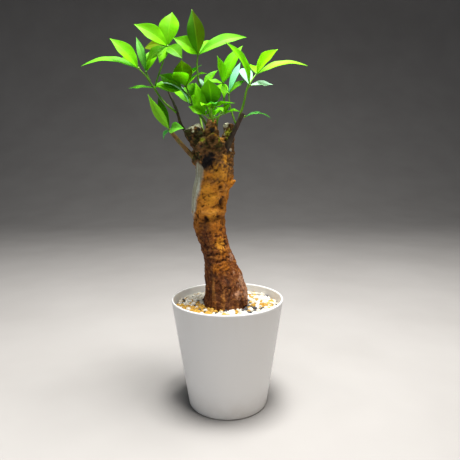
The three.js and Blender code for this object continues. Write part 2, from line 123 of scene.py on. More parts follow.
def copied(master):
    copy = master.copy()
    copy.data = master.data.copy()
    bpy.context.scene.collection.objects.link(copy)
    return copy


# %% [markdown]
# Points and edges are changed in edit mode, and `editing` enters it with everything selected. A closed
# surface has to know which side is out. Doubles are merged first, and then the normals are recalculated,
# because an operator such as extrude leaves them as it finds them. `soften` shades smoothly all edges that
# are blunter than an angle, and `count` reports triangles.

# %% Closing a surface
@contextmanager
def editing(obj):
    pick(obj)
    bpy.ops.object.mode_set(mode="EDIT")
    bpy.ops.mesh.select_all(action="SELECT")
    yield
    bpy.ops.object.mode_set(mode="OBJECT")


def close_up(obj, gap=0.01):
    with editing(obj):
        bpy.ops.mesh.remove_doubles(threshold=gap * MM)
        bpy.ops.mesh.normals_make_consistent(inside=False)
    return obj


def soften(obj, degrees=35):
    pick(obj)
    bpy.ops.object.shade_smooth_by_angle(angle=math.radians(degrees))
    return obj


def count(obj):
    obj.data.calc_loop_triangles()
    return f"{obj.name}: {len(obj.data.loop_triangles)} triangles"


# %% [markdown]
# ## Helpers for materials
#
# Each finish is a small network of nodes. These helpers keep the networks readable: `feed` links a
# socket or sets a plain value, `calc` does one sum, `times` is the sum needed most, `spread` stretches a
# range onto another and `blend` mixes two colours by a mask.

# %% Small tools for node networks
def feed(tree, socket, source):
    if isinstance(source, bpy.types.NodeSocket):
        tree.links.new(source, socket)
    else:
        socket.default_value = source


def calc(tree, operation, first, second=0.0):
    node = tree.nodes.new("ShaderNodeMath")
    node.operation = operation
    feed(tree, node.inputs[0], first)
    feed(tree, node.inputs[1], second)
    return node.outputs[0]


def times(tree, first, second):
    return calc(tree, "MULTIPLY", first, second)


def spread(tree, value, low, high, to_low=0.0, to_high=1.0):
    node = tree.nodes.new("ShaderNodeMapRange")
    feed(tree, node.inputs["Value"], value)
    for name, limit in (("From Min", low), ("From Max", high), ("To Min", to_low), ("To Max", to_high)):
        node.inputs[name].default_value = limit
    return node.outputs[0]


def blend(tree, mask, first, second):
    node = tree.nodes.new("ShaderNodeMix")
    node.data_type = "RGBA"
    for socket, source in zip((0, 6, 7), (mask, first, second)):
        feed(tree, node.inputs[socket], source)
    return node.outputs[2]


def colour(red, green, blue):
    return (red, green, blue, 1.0)


# %% [markdown]
# A finish starts from one Principled shader. Values that are the same all over the surface are set on the
# shader itself. What changes over the surface is linked to it afterwards by `coat`: the colour, the
# roughness where it varies, and the relief, a height that always goes in through a Bump node with its
# distance in millimetres and its strength.

# %% Starting and ending a finish
def new_finish(name, **values):
    material = bpy.data.materials.new(name)
    material.use_nodes = True
    shader = material.node_tree.nodes["Principled BSDF"]
    for key, value in values.items():
        shader.inputs[key.replace("_", " ").title().replace("Ior", "IOR")].default_value = value
    return material, material.node_tree


def coat(material, body, roughness=None, relief=None):
    tree = material.node_tree
    shader = tree.nodes["Principled BSDF"]
    feed(tree, shader.inputs["Base Color"], body)
    if roughness is not None:
        feed(tree, shader.inputs["Roughness"], roughness)
    if relief is not None:
        height, distance, strength = relief
        bump = tree.nodes.new("ShaderNodeBump")
        feed(tree, bump.inputs["Height"], height)
        feed(tree, bump.inputs["Distance"], distance * MM)
        feed(tree, bump.inputs["Strength"], strength)
        feed(tree, shader.inputs["Normal"], bump.outputs["Normal"])
    return material


# %% [markdown]
# ### One grain for all natural surfaces
#
# Bark, stones, leaves and even moulded plastic are never one even colour. The same effect serves them
# all: noise in the piece's own space, stretched along one direction where the material has a grain. It is
# a node group, built once, that gives a soft shade and a finer height. Each finish sets its own scale,
# stretch and detail. A scale of 100 gives spots about a centimetre wide.

# %% The surface grain group
FINER = 3.7


def build_grain_group():
    group = bpy.data.node_groups.new("surface_grain", "ShaderNodeTree")
    for name, kind in (("Scale", "Float"), ("Stretch", "Vector"), ("Detail", "Float")):
        group.interface.new_socket(name, in_out="INPUT", socket_type=f"NodeSocket{kind}")
    for name in ("Shade", "Height"):
        group.interface.new_socket(name, in_out="OUTPUT", socket_type="NodeSocketFloat")
    start = group.nodes.new("NodeGroupInput")
    end = group.nodes.new("NodeGroupOutput")
    place = group.nodes.new("ShaderNodeTexCoord")
    mapping = group.nodes.new("ShaderNodeMapping")
    soft = group.nodes.new("ShaderNodeTexNoise")
    fine = group.nodes.new("ShaderNodeTexNoise")
    group.links.new(place.outputs["Object"], mapping.inputs["Vector"])
    group.links.new(start.outputs["Stretch"], mapping.inputs["Scale"])
    for texture in (soft, fine):
        group.links.new(mapping.outputs["Vector"], texture.inputs["Vector"])
        group.links.new(start.outputs["Detail"], texture.inputs["Detail"])
    group.links.new(start.outputs["Scale"], soft.inputs["Scale"])
    group.links.new(times(group, start.outputs["Scale"], FINER), fine.inputs["Scale"])
    group.links.new(spread(group, soft.outputs[0], 0.3, 0.7), end.inputs["Shade"])
    group.links.new(fine.outputs[0], end.inputs["Height"])
    return group


SURFACE_GRAIN = build_grain_group()


def grain(tree, scale, stretch=(1, 1, 1), detail=3.0):
    node = tree.nodes.new("ShaderNodeGroup")
    node.node_tree = SURFACE_GRAIN
    for name, value in (("Scale", scale), ("Stretch", stretch), ("Detail", detail)):
        node.inputs[name].default_value = value
    return node.outputs["Shade"], node.outputs["Height"]


print("grain group inputs:", [s.name for s in SURFACE_GRAIN.interface.items_tree])

# %% [markdown]
# ## The pot
#
# The pot is a moulded white plastic cone with a thin rounded lip and a small foot. A potter would turn
# it, and so does this cell: an outline of radius and height is followed ring by ring. Each ring is
# extruded from the last one and resized about the upright axis. That gives clean rings, so the lip stays
# round from every side.

# %% Turn an outline into a round piece
def turned(name, outline, sides):
    radius, height = outline[0]
    bpy.ops.object.select_all(action="DESELECT")
    bpy.ops.mesh.primitive_circle_add(
        vertices=sides, radius=radius * MM, fill_type="NGON", location=(0, 0, height * MM)
    )
    piece = settle(named(name))
    with editing(piece):
        bpy.ops.mesh.select_mode(type="EDGE")
        for next_radius, next_height in outline[1:]:
            rise = (next_height - height) * MM
            size = next_radius / radius
            bpy.ops.mesh.extrude_edges_move(TRANSFORM_OT_translate={"value": (0, 0, rise)})
            bpy.ops.transform.resize(value=(size, size, 1), center_override=(0, 0, 0))
            radius, height = next_radius, next_height
        bpy.ops.mesh.edge_face_add()
    return close_up(piece)


def rounded(start, corner, end, steps=6):
    points = []
    for step in range(steps + 1):
        share = step / steps
        near, far = (1 - share) ** 2, share**2
        middle = 1 - near - far
        points.append(tuple(near * a + middle * b + far * c for a, b, c in zip(start, corner, end)))
    return points


# %% [markdown]
# The outline starts at the centre pad under the floor, runs out over the foot ring, up the outside, over
# the lip and down the inside to the floor. Six drainage holes are cut through the floor with a round
# cutter that is modelled once and copied.

# %% Model the pot
POT_RIM_R = 60.0
POT_HEIGHT = 118.5
POT_SHOULDER = 117.2
POT_BASE_R = 43.0
POT_WALL = 1.8
POT_MOUTH_R = 57.8
POT_FLOOR_TOP = 4.2
POT_SIDES = 144
DRAIN_HOLES = 6
DRAIN_HOLE_R = 4
DRAIN_RING_R = 25


def pot_outside(height):
    return POT_BASE_R + (POT_RIM_R - POT_BASE_R) * height / POT_SHOULDER


pot_outline = [(13.0, 0.0), (14.0, 2.0), (35.6, 2.0), (36.6, 0.0)]
pot_outline += rounded((40.6, 0.0), (POT_BASE_R, 0.0), (pot_outside(2.4), 2.4))
pot_outline += [(pot_outside(h), h) for h in (6, 20, 60, 100, 113.5)]
pot_outline += [(POT_RIM_R - 0.12, 115.4)]
pot_outline += rounded((POT_RIM_R, 116.9), (POT_RIM_R, POT_HEIGHT), (POT_RIM_R - 1.0, POT_HEIGHT))
pot_outline += rounded((POT_RIM_R - 1.2, POT_HEIGHT), (POT_MOUTH_R, POT_HEIGHT), (POT_MOUTH_R, 116.6))
pot_outline += [(pot_outside(h) - POT_WALL, h) for h in (114.0, 100, 60, 20, 6)]
pot_outline += rounded((pot_outside(5.6) - POT_WALL, 5.6), (41.8, POT_FLOOR_TOP), (40.2, POT_FLOOR_TOP), 3)
pot = turned("moulded_pot", pot_outline, POT_SIDES)

bpy.ops.object.select_all(action="DESELECT")
bpy.ops.mesh.primitive_cylinder_add(
    vertices=32, radius=DRAIN_HOLE_R * MM, depth=9 * MM, location=(DRAIN_RING_R * MM, 0, 3 * MM)
)
cutters = [settle(named("drain_cutter"))]
for turn in range(1, DRAIN_HOLES):
    copy = copied(cutters[0])
    copy.data.transform(Matrix.Rotation(math.radians(360 / DRAIN_HOLES * turn), 4, "Z"))
    cutters.append(copy)
cutter = joined(cutters, "drain_cutters")
finish_with(pot, "BOOLEAN", object=cutter, operation="DIFFERENCE", solver="EXACT")
bpy.data.objects.remove(cutter)
soften(pot)
print(count(pot))

# %% [markdown]
# Moulded plastic is smooth, but not perfect. The wall has a very fine ripple and faint upright water marks
# under the lip, and towards the foot a painted shade makes it darker and browner. All of it is kept low,
# so that the pot still reads as clean and white. Marks that belong to one height read it from the Object
# coordinates.

# %% Finish the pot
def split_up(tree, vector):
    node = tree.nodes.new("ShaderNodeSeparateXYZ")
    tree.links.new(vector, node.inputs[0])
    return node.outputs


def height_above_base(tree):
    return split_up(tree, tree.nodes.new("ShaderNodeTexCoord").outputs["Object"])["Z"]


def pot_finish():
    material, tree = new_finish("white_plastic", ior=1.5, specular_ior_level=0.5)
    height = height_above_base(tree)
    streaks, _ = grain(tree, 130.0, (1, 1, 0.06), 2.0)
    near_lip = spread(tree, height, 85 * MM, 118 * MM, 0.0, 0.30)
    marks = times(tree, streaks, near_lip)
    body = blend(tree, marks, colour(0.82, 0.82, 0.82), colour(0.74, 0.71, 0.67))
    # painted shade: the wall is painted darker and browner towards the foot
    painted_shade_and_highlight, swell = grain(tree, 60.0, detail=4.0)
    low = spread(tree, height, 0.0, 30 * MM, 0.30, 0.0)
    body = blend(tree, times(tree, painted_shade_and_highlight, low), body, colour(0.52, 0.45, 0.36))
    return coat(material, body, spread(tree, painted_shade_and_highlight, 0.0, 1.0, 0.32, 0.44), (swell, 0.05, 0.35))


pot.data.materials.append(pot_finish())
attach(pot, "root")
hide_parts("pot")

# %% [markdown]
# ## The filling
#
# The pot is filled with grit: white pumice, ochre clay granules and a little black lava over a darker
# fine mix. Two things make it. The bed is one turned body that fills the pot. On it lie loose stones.
# Each kind has two or three shapes, and each shape is modelled once, from a cube whose corners are pushed
# about.

# %% Model the bed
SOIL = 108.5
BED_CLEARANCE = 0.3
BED_SIDES = 96

bed_outline = [(30.0, 4.5), (41.0, 4.6)]
bed_outline += [(pot_outside(h) - POT_WALL - BED_CLEARANCE, h) for h in (8, 30, 60, 90, 107.0)]
bed_outline += [(54.0, 107.9), (47.0, 108.3), (40.0, 108.6), (33.0, 108.8), (26.0, 109.0), (18.0, 109.0)]
bed = turned("substrate_bed", bed_outline, BED_SIDES)
soften(bed, 60)
print(count(bed))

# %% [markdown]
# A stone needs few faces, because there are over a thousand of them. A cube is cut once each way and
# rounded, which gives 24 faces, and its corners are then moved at random with a fixed seed. Lava is left
# sharper than pumice and clay.

# %% Model one stone of each shape
def stone(name, seed, rounding, uneven):
    bpy.ops.object.select_all(action="DESELECT")
    bpy.ops.mesh.primitive_cube_add(size=1.0)
    piece = named(name)
    with editing(piece):
        bpy.ops.mesh.subdivide(number_cuts=1, smoothness=rounding)
    pushed = random.Random(seed)
    for vertex in piece.data.vertices:
        vertex.co += Vector([pushed.uniform(-uneven, uneven) for _ in range(3)])
    return piece


pumice_shapes = [stone(f"pumice_{i}", 11 + i, 0.9, 0.10) for i in range(3)]
clay_shapes = [stone(f"clay_{i}", 31 + i, 1.0, 0.08) for i in range(2)]
lava_shapes = [stone(f"lava_{i}", 51 + i, 0.5, 0.14) for i in range(2)]
print("stone faces:", len(pumice_shapes[0].data.polygons))

# %% [markdown]
# Stones lie where gravity and the gardener left them. Each gets a random place round the trunk, a size
# and a turn, and a new one is dropped again if it would sit inside its neighbour. Ochre clay gathers at
# the front left and at the right of the trunk, lava in one patch at the front right, and pumice
# everywhere else.

# %% Choose where the stones lie
STONE_RING = (25.0, 56.0)
STONES = 1500
STONE_LAYERS = 2
LAYER_RISE = 1.7
STONE_SIZE = (2.4, 4.2)
RARE_EXTRA = 1.8
NEAREST = 0.42
scatter = random.Random(7)


def kind_at(x, y):
    lava = math.exp(-(((x - 26) / 9) ** 2) - ((y + 20) / 9) ** 2)
    clay = 0.95 * math.exp(-(((x + 26) / 20) ** 2) - ((y + 20) / 17) ** 2)
    clay += 0.75 * math.exp(-(((x - 40) / 9) ** 2) - ((y + 6) / 9) ** 2)
    chance = scatter.random()
    if chance < 0.06 + 0.62 * lava:
        return "lava"
    return "clay" if chance > 1 - (0.14 + clay) * 0.85 else "pumice"


def too_near(x, y, size, other_x, other_y, other_size):
    return (x - other_x) ** 2 + (y - other_y) ** 2 < (NEAREST * (size + other_size)) ** 2


def lay_stones():
    laid = []
    for layer in range(STONE_LAYERS):
        taken = []
        for _ in range(STONES * 4):
            if len(taken) > STONES / STONE_LAYERS:
                break
            reach = math.sqrt(scatter.uniform(STONE_RING[0] ** 2, STONE_RING[1] ** 2))
            angle = scatter.uniform(0, 2 * math.pi)
            size = scatter.uniform(*STONE_SIZE) + scatter.random() ** 4 * RARE_EXTRA
            x, y = reach * math.cos(angle) - 1.0, reach * math.sin(angle)
            if math.hypot(x, y) + size * 0.55 > STONE_RING[1]:
                continue
            if any(too_near(x, y, size, *other) for other in taken):
                continue
            taken.append((x, y, size))
            z = SOIL - 0.3 + layer * LAYER_RISE + scatter.uniform(-0.5, 0.7)
            z -= 0.03 * (reach - STONE_RING[0])
            laid.append((kind_at(x, y), x, y, z, size))
    return laid


laid_stones = lay_stones()
print("stones:", len(laid_stones))

# %% [markdown]
# Every stone is a copy of one of the shapes, turned at random and stretched a little. Each kind is joined
# into one piece. A stone's tone, from light to dark, is kept on the points of its mesh, where the finish
# can read it.

# %% Scatter the stones
def keep(obj, name, values):
    attribute = obj.data.attributes.get(name) or obj.data.attributes.new(name, "FLOAT", "POINT")
    attribute.data.foreach_set("value", np.asarray(values, np.float32))


def scatter_kind(kind, shapes, name):
    copies = []
    for _, x, y, z, size in [s for s in laid_stones if s[0] == kind]:
        copy = copied(scatter.choice(shapes))
        turn = Euler([scatter.uniform(0, math.pi) for _ in range(3)]).to_matrix().to_4x4()
        sides = Vector((1.0, scatter.uniform(0.72, 0.95), scatter.uniform(0.6, 0.85))) * size * MM
        place = Matrix.Translation(Vector((x, y, z)) * MM)
        copy.data.transform(place @ turn @ Matrix.Diagonal((*sides, 1.0)))
        keep(copy, "tone", [scatter.random()] * len(copy.data.vertices))
        copies.append(copy)
    piece = joined(copies, name)
    return soften(piece, 50)


pumice = scatter_kind("pumice", pumice_shapes, "pumice_grains")
clay = scatter_kind("clay", clay_shapes, "clay_grains")
lava = scatter_kind("lava", lava_shapes, "lava_grains")
for shape in pumice_shapes + clay_shapes + lava_shapes:
    bpy.data.objects.remove(shape)
for piece in (pumice, clay, lava):
    print(count(piece))

# %% [markdown]
# All the stones share one way of being coloured: a light and a dark mineral tone, mixed by the stone's
# own tone and by the surface grain, with pores pressed in by the bump. Only the colours differ. The bed
# between them is a finer and rougher mix of brown grit.

# %% Finish the filling
def painted(tree, name):
    node = tree.nodes.new("ShaderNodeAttribute")
    node.attribute_name = name
    return node.outputs["Fac"]


def stone_finish(name, pale, dark, pore):
    material, tree = new_finish(name, roughness=0.9, specular_ior_level=0.3)
    shade, height = grain(tree, 420.0)
    tone = painted(tree, "tone")
    mask = calc(tree, "ADD", times(tree, shade, 0.35), times(tree, tone, 0.65))
    return coat(material, blend(tree, mask, pale, dark), relief=(height, pore, 0.8))


def bed_finish():
    material, tree = new_finish("fine_mix", roughness=0.95, specular_ior_level=0.2)
    shade, height = grain(tree, 700.0, detail=5.0)
    body = blend(tree, shade, colour(0.16, 0.11, 0.06), colour(0.48, 0.36, 0.20))
    return coat(material, body, relief=(height, 1.0, 1.0))


STONE_COLOURS = {
    "pumice": (colour(0.80, 0.79, 0.73), colour(0.56, 0.49, 0.37), 0.6),
    "clay": (colour(0.70, 0.42, 0.07), colour(0.34, 0.18, 0.03), 0.5),
    "lava": (colour(0.12, 0.12, 0.13), colour(0.03, 0.03, 0.035), 0.6),
}
bed.data.materials.append(bed_finish())
for piece, (name, values) in zip((pumice, clay, lava), STONE_COLOURS.items()):
    piece.data.materials.append(stone_finish(name, *values))
for piece in (bed, pumice, clay, lava):
    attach(piece, "root")
    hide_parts("substrate")

# %% [markdown]
# ## Limbs
#
# Twigs, stems, stubs and roots are all tapered round limbs along a bent line. A curve does this best: it
# passes smoothly through the points of the route, each point has its own radius, and a round bevel gives
# it a body. It is then turned into a mesh.

# %% Grow a limb along a route
def limb(name, route, radii, roundness, steps=6):
    bpy.ops.object.select_all(action="DESELECT")
    bpy.ops.curve.primitive_bezier_curve_add()
    curve = named(name)
    spline = curve.data.splines[0]
    spline.bezier_points.add(len(route) - len(spline.bezier_points))
    for i, (point, place) in enumerate(zip(spline.bezier_points, route)):
        along = i / (len(route) - 1) * (len(radii) - 1)
        span = min(int(along), len(radii) - 2)
        point.co = Vector(place) * MM
        point.radius = radii[span] + (radii[span + 1] - radii[span]) * (along - span)
        point.handle_left_type = "AUTO"
        point.handle_right_type = "AUTO"
    curve.data.dimensions = "3D"
    curve.data.resolution_u = steps
    curve.data.bevel_depth = MM
    curve.data.bevel_resolution = roundness
    curve.data.use_fill_caps = True
    pick(curve)
    bpy.ops.object.convert(target="MESH")
    return close_up(settle(named(name)))


# %% [markdown]
# ## The trunk
#
# The trunk is a swollen, bent stem: wide at its foot, narrow at a waist and wide again at the crown, where
# it was cut back and has healed in stubs and knots. It could be a curve too, but its rings lie flat, so it
# is turned as an upright post from its radius at each height, and then every ring slides sideways to
# where the trunk's line runs. The same smooth line, through stations of height, centre x and y, and
# radius, is used for both.

# %% The trunk's line
RING_RISE = 2.2
POST_SIDES = 72
TRUNK_LINE = [
    (34, 4, 2, 1.6), (44, 3, 2, 5), (58, 1, 1, 11), (74, 0, 0, 18), (92, -1, 0, 24), (110, -1, 0, 24.2),
    (132, -2, 0, 22), (152, -6, -1, 18.3), (172, -11.5, -2, 16), (192, -17.5, -2, 16),
    (214, -18.4, -1, 17.7), (234, -15.5, 0, 19.4), (252, -12, 0, 19), (268, -13.5, 0, 19),
    (280, -15, 0, 17.6), (287, -15, 0, 13),
]


def slopes(stations):
    table = np.array(stations, float)
    steps = np.diff(table[:, 0])[:, None]
    between = np.diff(table[:, 1:], axis=0) / steps
    inner = (between[1:] * steps[:-1] + between[:-1] * steps[1:]) / (steps[1:] + steps[:-1])
    return table, np.vstack([between[:1], inner, between[-1:]])


def smooth_line(stations, at):
    table, slope = slopes(stations)
    at = np.clip(np.asarray(at, float), table[0, 0], table[-1, 0])
    i = np.clip(np.searchsorted(table[:, 0], at) - 1, 0, len(table) - 2)
    step = (table[i + 1, 0] - table[i, 0])[..., None]
    t = ((at - table[i, 0])[..., None]) / step
    start, end = table[i, 1:], table[i + 1, 1:]
    swing_in, swing_out = slope[i] * step, slope[i + 1] * step
    rise = 3 * t**2 - 2 * t**3
    return start + (end - start) * rise + swing_in * (t - 2 * t**2 + t**3) + swing_out * (t**3 - t**2)


print("trunk at 200 mm:", smooth_line(TRUNK_LINE, 200.0).round(1))

# %% [markdown]
# The bending is done on all the points at once: they are read as one table of numbers, slid sideways and
# written back.

# %% Turn the post and bend it
def mesh_places(obj):
    places = np.empty(len(obj.data.vertices) * 3)
    obj.data.vertices.foreach_get("co", places)
    return places.reshape(-1, 3)


def put_places(obj, places):
    obj.data.vertices.foreach_set("co", places.ravel())
    obj.data.update()


foot, top = float(TRUNK_LINE[0][0]), float(TRUNK_LINE[-1][0])
rings = [float(z) for z in np.arange(foot, top + 0.1, RING_RISE)] + [top]
post = turned("trunk_post", [(float(smooth_line(TRUNK_LINE, z)[2]), z) for z in rings], POST_SIDES)
places = mesh_places(post)
places[:, :2] += smooth_line(TRUNK_LINE, places[:, 2] / MM)[:, :2] * MM
put_places(post, places)
print(count(post))

# %% [markdown]
# The crown's stubs, knots and shoulders, the spurs on the right and the four stout roots are limbs that
# start inside the trunk. Each has a name, a route, and radii from its start to its end.

# %% Grow the stubs and roots
STUBS = {
    "round_stub": ([(-22, 2, 278), (-29, 0, 286), (-35, -3, 298.5)], (8, 9.8, 8.6)),
    "tall_stub": ([(-14, -2, 280), (-14, -6, 292), (-14, -4, 306)], (9, 7, 4.6)),
    "pale_stub": ([(0, 2, 272), (2, 0, 286), (3, -1, 302)], (9, 7, 5)),
    "ring_knot": ([(-13, -8, 282), (-13, -14, 284), (-13, -19.5, 285)], (7, 7, 5.6)),
    "small_knot": ([(-24, -8, 277), (-25, -14, 278), (-25.5, -18, 279)], (5.5, 5, 3.6)),
    "left_shoulder": ([(-24, 0, 264), (-31, -2, 267), (-35, -4, 269)], (8, 6.5, 4)),
    "right_shoulder": ([(-2, 0, 268), (2, -3, 271), (5, -5, 275)], (9, 7, 4.5)),
    "back_stub": ([(-16, 8, 276), (-17, 13, 286), (-18, 17, 295)], (8, 7.5, 6)),
    "back_knot": ([(-28, 6, 268), (-33, 11, 272), (-36, 14, 275)], (7, 5.5, 3.6)),
    "spur": ([(-2, -2, 238), (5, -4, 241), (9.5, -5, 244)], (6, 4, 1.4)),
    "small_spur": ([(2, 4, 290), (6, 3, 297), (7.5, 2, 302)], (3, 2.2, 1.2)),
}
ROOTS = [
    ([(10, -6, 84), (27.5, -11.8, 71.2), (37, -15, 52)], (6, 1.8)),
    ([(2, 10, 82), (8.5, 26.9, 67.9), (12, 36, 48)], (5.5, 1.6)),
    ([(-10, 6, 80), (-25.6, 12.5, 68.5), (-34, 16, 50)], (5.5, 1.7)),
    ([(-8, -10, 86), (-18.4, -24.3, 73.2), (-24, -32, 54)], (6, 1.8)),
]
grown = [limb(name, route, radii, 8) for name, (route, radii) in STUBS.items()]
grown += [limb(f"root_{i}", route, radii, 6) for i, (route, radii) in enumerate(ROOTS)]
print("limbs on the trunk:", len(grown))

# %% [markdown]
# Joined limbs still cut through each other. A voxel remesh turns them into one even skin, as if the whole
# form were cast in clay, and a few rounds of smoothing melt the joints. Voxels of 0.8 mm keep the file
# modest and are finer than the bark's own scales.

# %% Fuse the wood into one skin
VOXEL = 0.8
trunk = joined([post] + grown, "baobab_trunk")
finish_with(trunk, "REMESH", mode="VOXEL", voxel_size=VOXEL * MM)
finish_with(trunk, "SMOOTH", factor=0.5, iterations=6)
print(count(trunk))

# %% [markdown]
# ### Carving the bark
#
# A sculptor would now carve the bark with brushes. A script can't replay brush strokes, so the depth is
# worked out at every point instead, from fields of noise that each stand for one thing that bark does:
# broad lumps, wrinkles that run round the trunk, upright folds near its foot, short cracks and small pits.
# The wrinkles and cracks come and go in patches, because bark that is the same all over looks like a
# pattern. The depth is kept on the mesh as well, so that the finish can paint shade into the cracks and a
# highlight onto the raised ridges.

# %% Fields that carve the bark
def step_up(value, low, high):
    t = min(max((value - low) / (high - low), 0.0), 1.0)
    return t * t * (3 - 2 * t)


def bell(offset, width):
    return math.exp(-((offset / width) ** 2))


def ripple(x, y, z, round_rate, up_rate, seed=0.0):
    return noise.noise((x * round_rate + seed, y * round_rate - seed, z * up_rate + seed))


def crack(value, width):
    return max(0.0, 1 - abs(value) / width)


# %% [markdown]
# Some marks stand at places that are easy to find again: the deep crevice right of the middle with a knob
# above it, a swirl low on the right, the hole of the ring knot. Each has its place on the skin, how far it
# reaches round and up, how far it stands out, and how dark it is.

# %% Marks at known places
BARK_MARKS = {
    "crevice_shade": ((-4, -13, 222), 3.4, 7.5, -2.8, 1.0),
    "crevice_top": ((-6, -17, 238), 2.4, 3.0, -1.8, 1.0),
    "crevice_knob": ((-1, -13, 233), 2.6, 3.4, 1.8, -0.8),
    "crevice_lip": ((-8, -17, 228), 2.2, 5.0, 0.9, -0.5),
    "collar_pit": ((-21, -19, 206), 1.6, 4.0, -1.6, 0.9),
    "collar_spot": ((-8, -15, 208), 1.4, 1.6, -1.0, 1.0),
    "left_pit": ((-32, -14, 210), 1.8, 2.0, -1.2, 0.9),
    "right_pit": ((-4, -10, 200), 1.8, 3.0, -1.2, 0.8),
    "low_pit": ((-10, -14, 197), 1.4, 2.6, -1.2, 0.8),
    "arch": ((-9, -19, 169), 4.5, 1.2, -0.9, 0.8),
    "dash": ((-4, -17, 163), 2.4, 1.0, -0.9, 0.8),
    "left_knot": ((-17, -18, 149), 3.0, 3.6, -1.4, 0.8),
    "oval_knot": ((2, -21, 138), 2.0, 5.0, -1.5, 0.8),
    "fold_edge": ((-3, -23, 128), 1.2, 16.0, 1.1, -0.5),
    "fold_shade": ((1, -23, 124), 1.6, 14.0, -1.0, 0.45),
    "swirl": ((13, -20, 126), 4.6, 5.0, 1.8, -0.3),
    "swirl_eye": ((13, -21, 125), 1.6, 1.6, -1.8, 0.8),
    "knot_hole": ((-13, -20, 285), 2.6, 2.6, -3.0, 1.0),
    "small_hole": ((-25, -18, 279), 1.6, 1.6, -1.6, 1.0),
    "tiny_knot": ((-21, -17, 272), 2.0, 2.0, 0.9, 0.2),
    "crown_hollow": ((-18, -18, 265), 6.5, 6.0, -1.8, 0.9),
    "back_crevice": ((-13, 15, 190), 4.0, 13.0, -2.2, 0.9),
    "back_knot": ((-20, 17, 238), 4.0, 6.0, -1.5, 0.8),
    "back_fold": ((9, 20, 130), 3.0, 13.0, -1.5, 0.6),
    "side_fold": ((-24, 8, 128), 3.0, 14.0, -1.4, 0.6),
    "side_knot": ((6, 6, 226), 3.6, 4.2, 1.5, 0.2),
}


def marks_at(x, y, z):
    rise = dark = 0.0
    for (mx, my, mz), round_reach, up_reach, out, shade in BARK_MARKS.values():
        near = bell(math.hypot(x - mx, 0.8 * (y - my)), round_reach) * bell(z - mz, up_reach)
        rise += out * near
        dark += shade * near
    return rise, dark


# %% [markdown]
# The fields and marks are added up, and a ragged collar is raised where old bark ends. Near the foot the
# folds are strongest and the wrinkles weaker, at the crown the grit is coarse, and under the smooth strip
# on the left almost nothing is carved.

# %% Depth and darkness at a place
def bark_depth(x, y, z, smooth):
    foot = 1 - step_up(z, 128, 168)
    crown = step_up(z, 257, 268)
    buried = 1 - step_up(z, 100, 112)
    bend = 0.9 * ripple(x, y, z, 0.07, 0.05)
    lumps = 1.5 * ripple(x, y, z, 0.055, 0.05) + 0.9 * ripple(x, y, z, 0.14, 0.12, 3.0)
    wrinkled = step_up(ripple(x, y, z, 0.08, 0.06, 9.0), -0.25, 0.2)
    wrinkles = 0.75 * (1 - 0.6 * foot) * wrinkled * ripple(x, y, z + 4 * bend, 0.07, 0.34)
    folds = 1.3 * foot * ripple(x + 3 * bend, y, z, 0.26, 0.035, 5.0)
    grit = 0.5 * ripple(x, y, z, 0.5, 0.5, 2.0) + (0.3 + 0.9 * crown) * ripple(x, y, z, 0.27, 0.27, 6.0)
    flat_cracks = crack(ripple(x, y, z + 5 * bend, 0.05, 0.20, 4.0), 0.055) * wrinkled * (1 - 0.5 * foot)
    upright = step_up(ripple(x, y, z, 0.07, 0.05, 12.0), -0.1 - 0.5 * foot, 0.25 - 0.2 * foot)
    tall_cracks = crack(ripple(x, y, z, 0.19, 0.045, 8.0), 0.07) * upright
    pits = (1 - 0.85 * foot) * step_up(ripple(x, y, z, 0.36, 0.30, 15.0), 0.34, 0.56)
    collar = bell(z - 212, 2.4) - 0.8 * bell(z - 206, 2.6)
    collar *= 0.9 + 1.6 * ripple(x, y, z, 0.13, 0.02, 7.0)
    mark_rise, mark_dark = marks_at(x, y, z)
    rise = lumps + wrinkles + folds + grit + collar - 0.7 * flat_cracks - 0.9 * tall_cracks - 0.8 * pits
    dark = 0.65 * flat_cracks + 0.75 * tall_cracks + 0.7 * pits - 0.5 * (wrinkles + folds) - 0.35 * collar
    rise = rise * (1 - 0.85 * smooth) + mark_rise
    return rise * (1 - 0.75 * buried), (dark * (1 - 0.8 * smooth) + mark_dark) * (1 - buried)


print("carved at the front of the crown:", [round(v, 2) for v in bark_depth(-12.0, -19.0, 262.0, 0.0)])

# %% [markdown]
# The strip on the left is young bark, smooth and grey-green, and its pale colour also paints the rim of
# light along the trunk's left edge. Where it lies has to be known before the carving. It follows the
# trunk's
# line in a band that wanders a little: its middle and half its width are given in degrees round the trunk,
# at some heights.

# %% Carve the trunk
STRIP_MIDDLE = [(200, 192), (214, 202), (262, 212)]
STRIP_HALF = [(202, 0), (214, 20), (236, 34), (258, 26), (266, 0)]
STRIP_EDGE = 12


def mesh_normals(obj):
    normals = np.empty(len(obj.data.vertices) * 3)
    obj.data.vertex_normals.foreach_get("vector", normals)
    return normals.reshape(-1, 3)


def left_strip(places):
    line = smooth_line(TRUNK_LINE, places[:, 2])
    turn = np.degrees(np.arctan2(places[:, 1] - line[:, 1], places[:, 0] - line[:, 0])) % 360
    middle = np.interp(places[:, 2], *zip(*STRIP_MIDDLE))
    half = np.interp(places[:, 2], *zip(*STRIP_HALF))
    broken = np.array([noise.noise((x * 0.2, y * 0.2, z * 0.06)) for x, y, z in places])
    inside = np.clip((half - np.abs(turn - middle)) / STRIP_EDGE + 0.5 * broken, 0, 1)
    return inside * np.clip(half / STRIP_EDGE, 0, 1)


places, normals = mesh_places(trunk), mesh_normals(trunk)
strip = left_strip(places / MM)
carved = np.array([bark_depth(*place, smooth) for place, smooth in zip(places / MM, strip)])
put_places(trunk, places + normals * carved[:, :1] * MM)
keep(trunk, "strip", strip)
# painted shade: cracks, pits and holes are darkened; painted highlight: raised wrinkles and folds are
# lightened
keep(trunk, "crevice_shade", np.clip(carved[:, 1], 0, 1))
keep(trunk, "ridge_highlight", np.clip(-1.4 * carved[:, 1], 0, 1))
soften(trunk, 180)
print("deepest and highest, mm:", carved[:, 0].min().round(2), carved[:, 0].max().round(2))
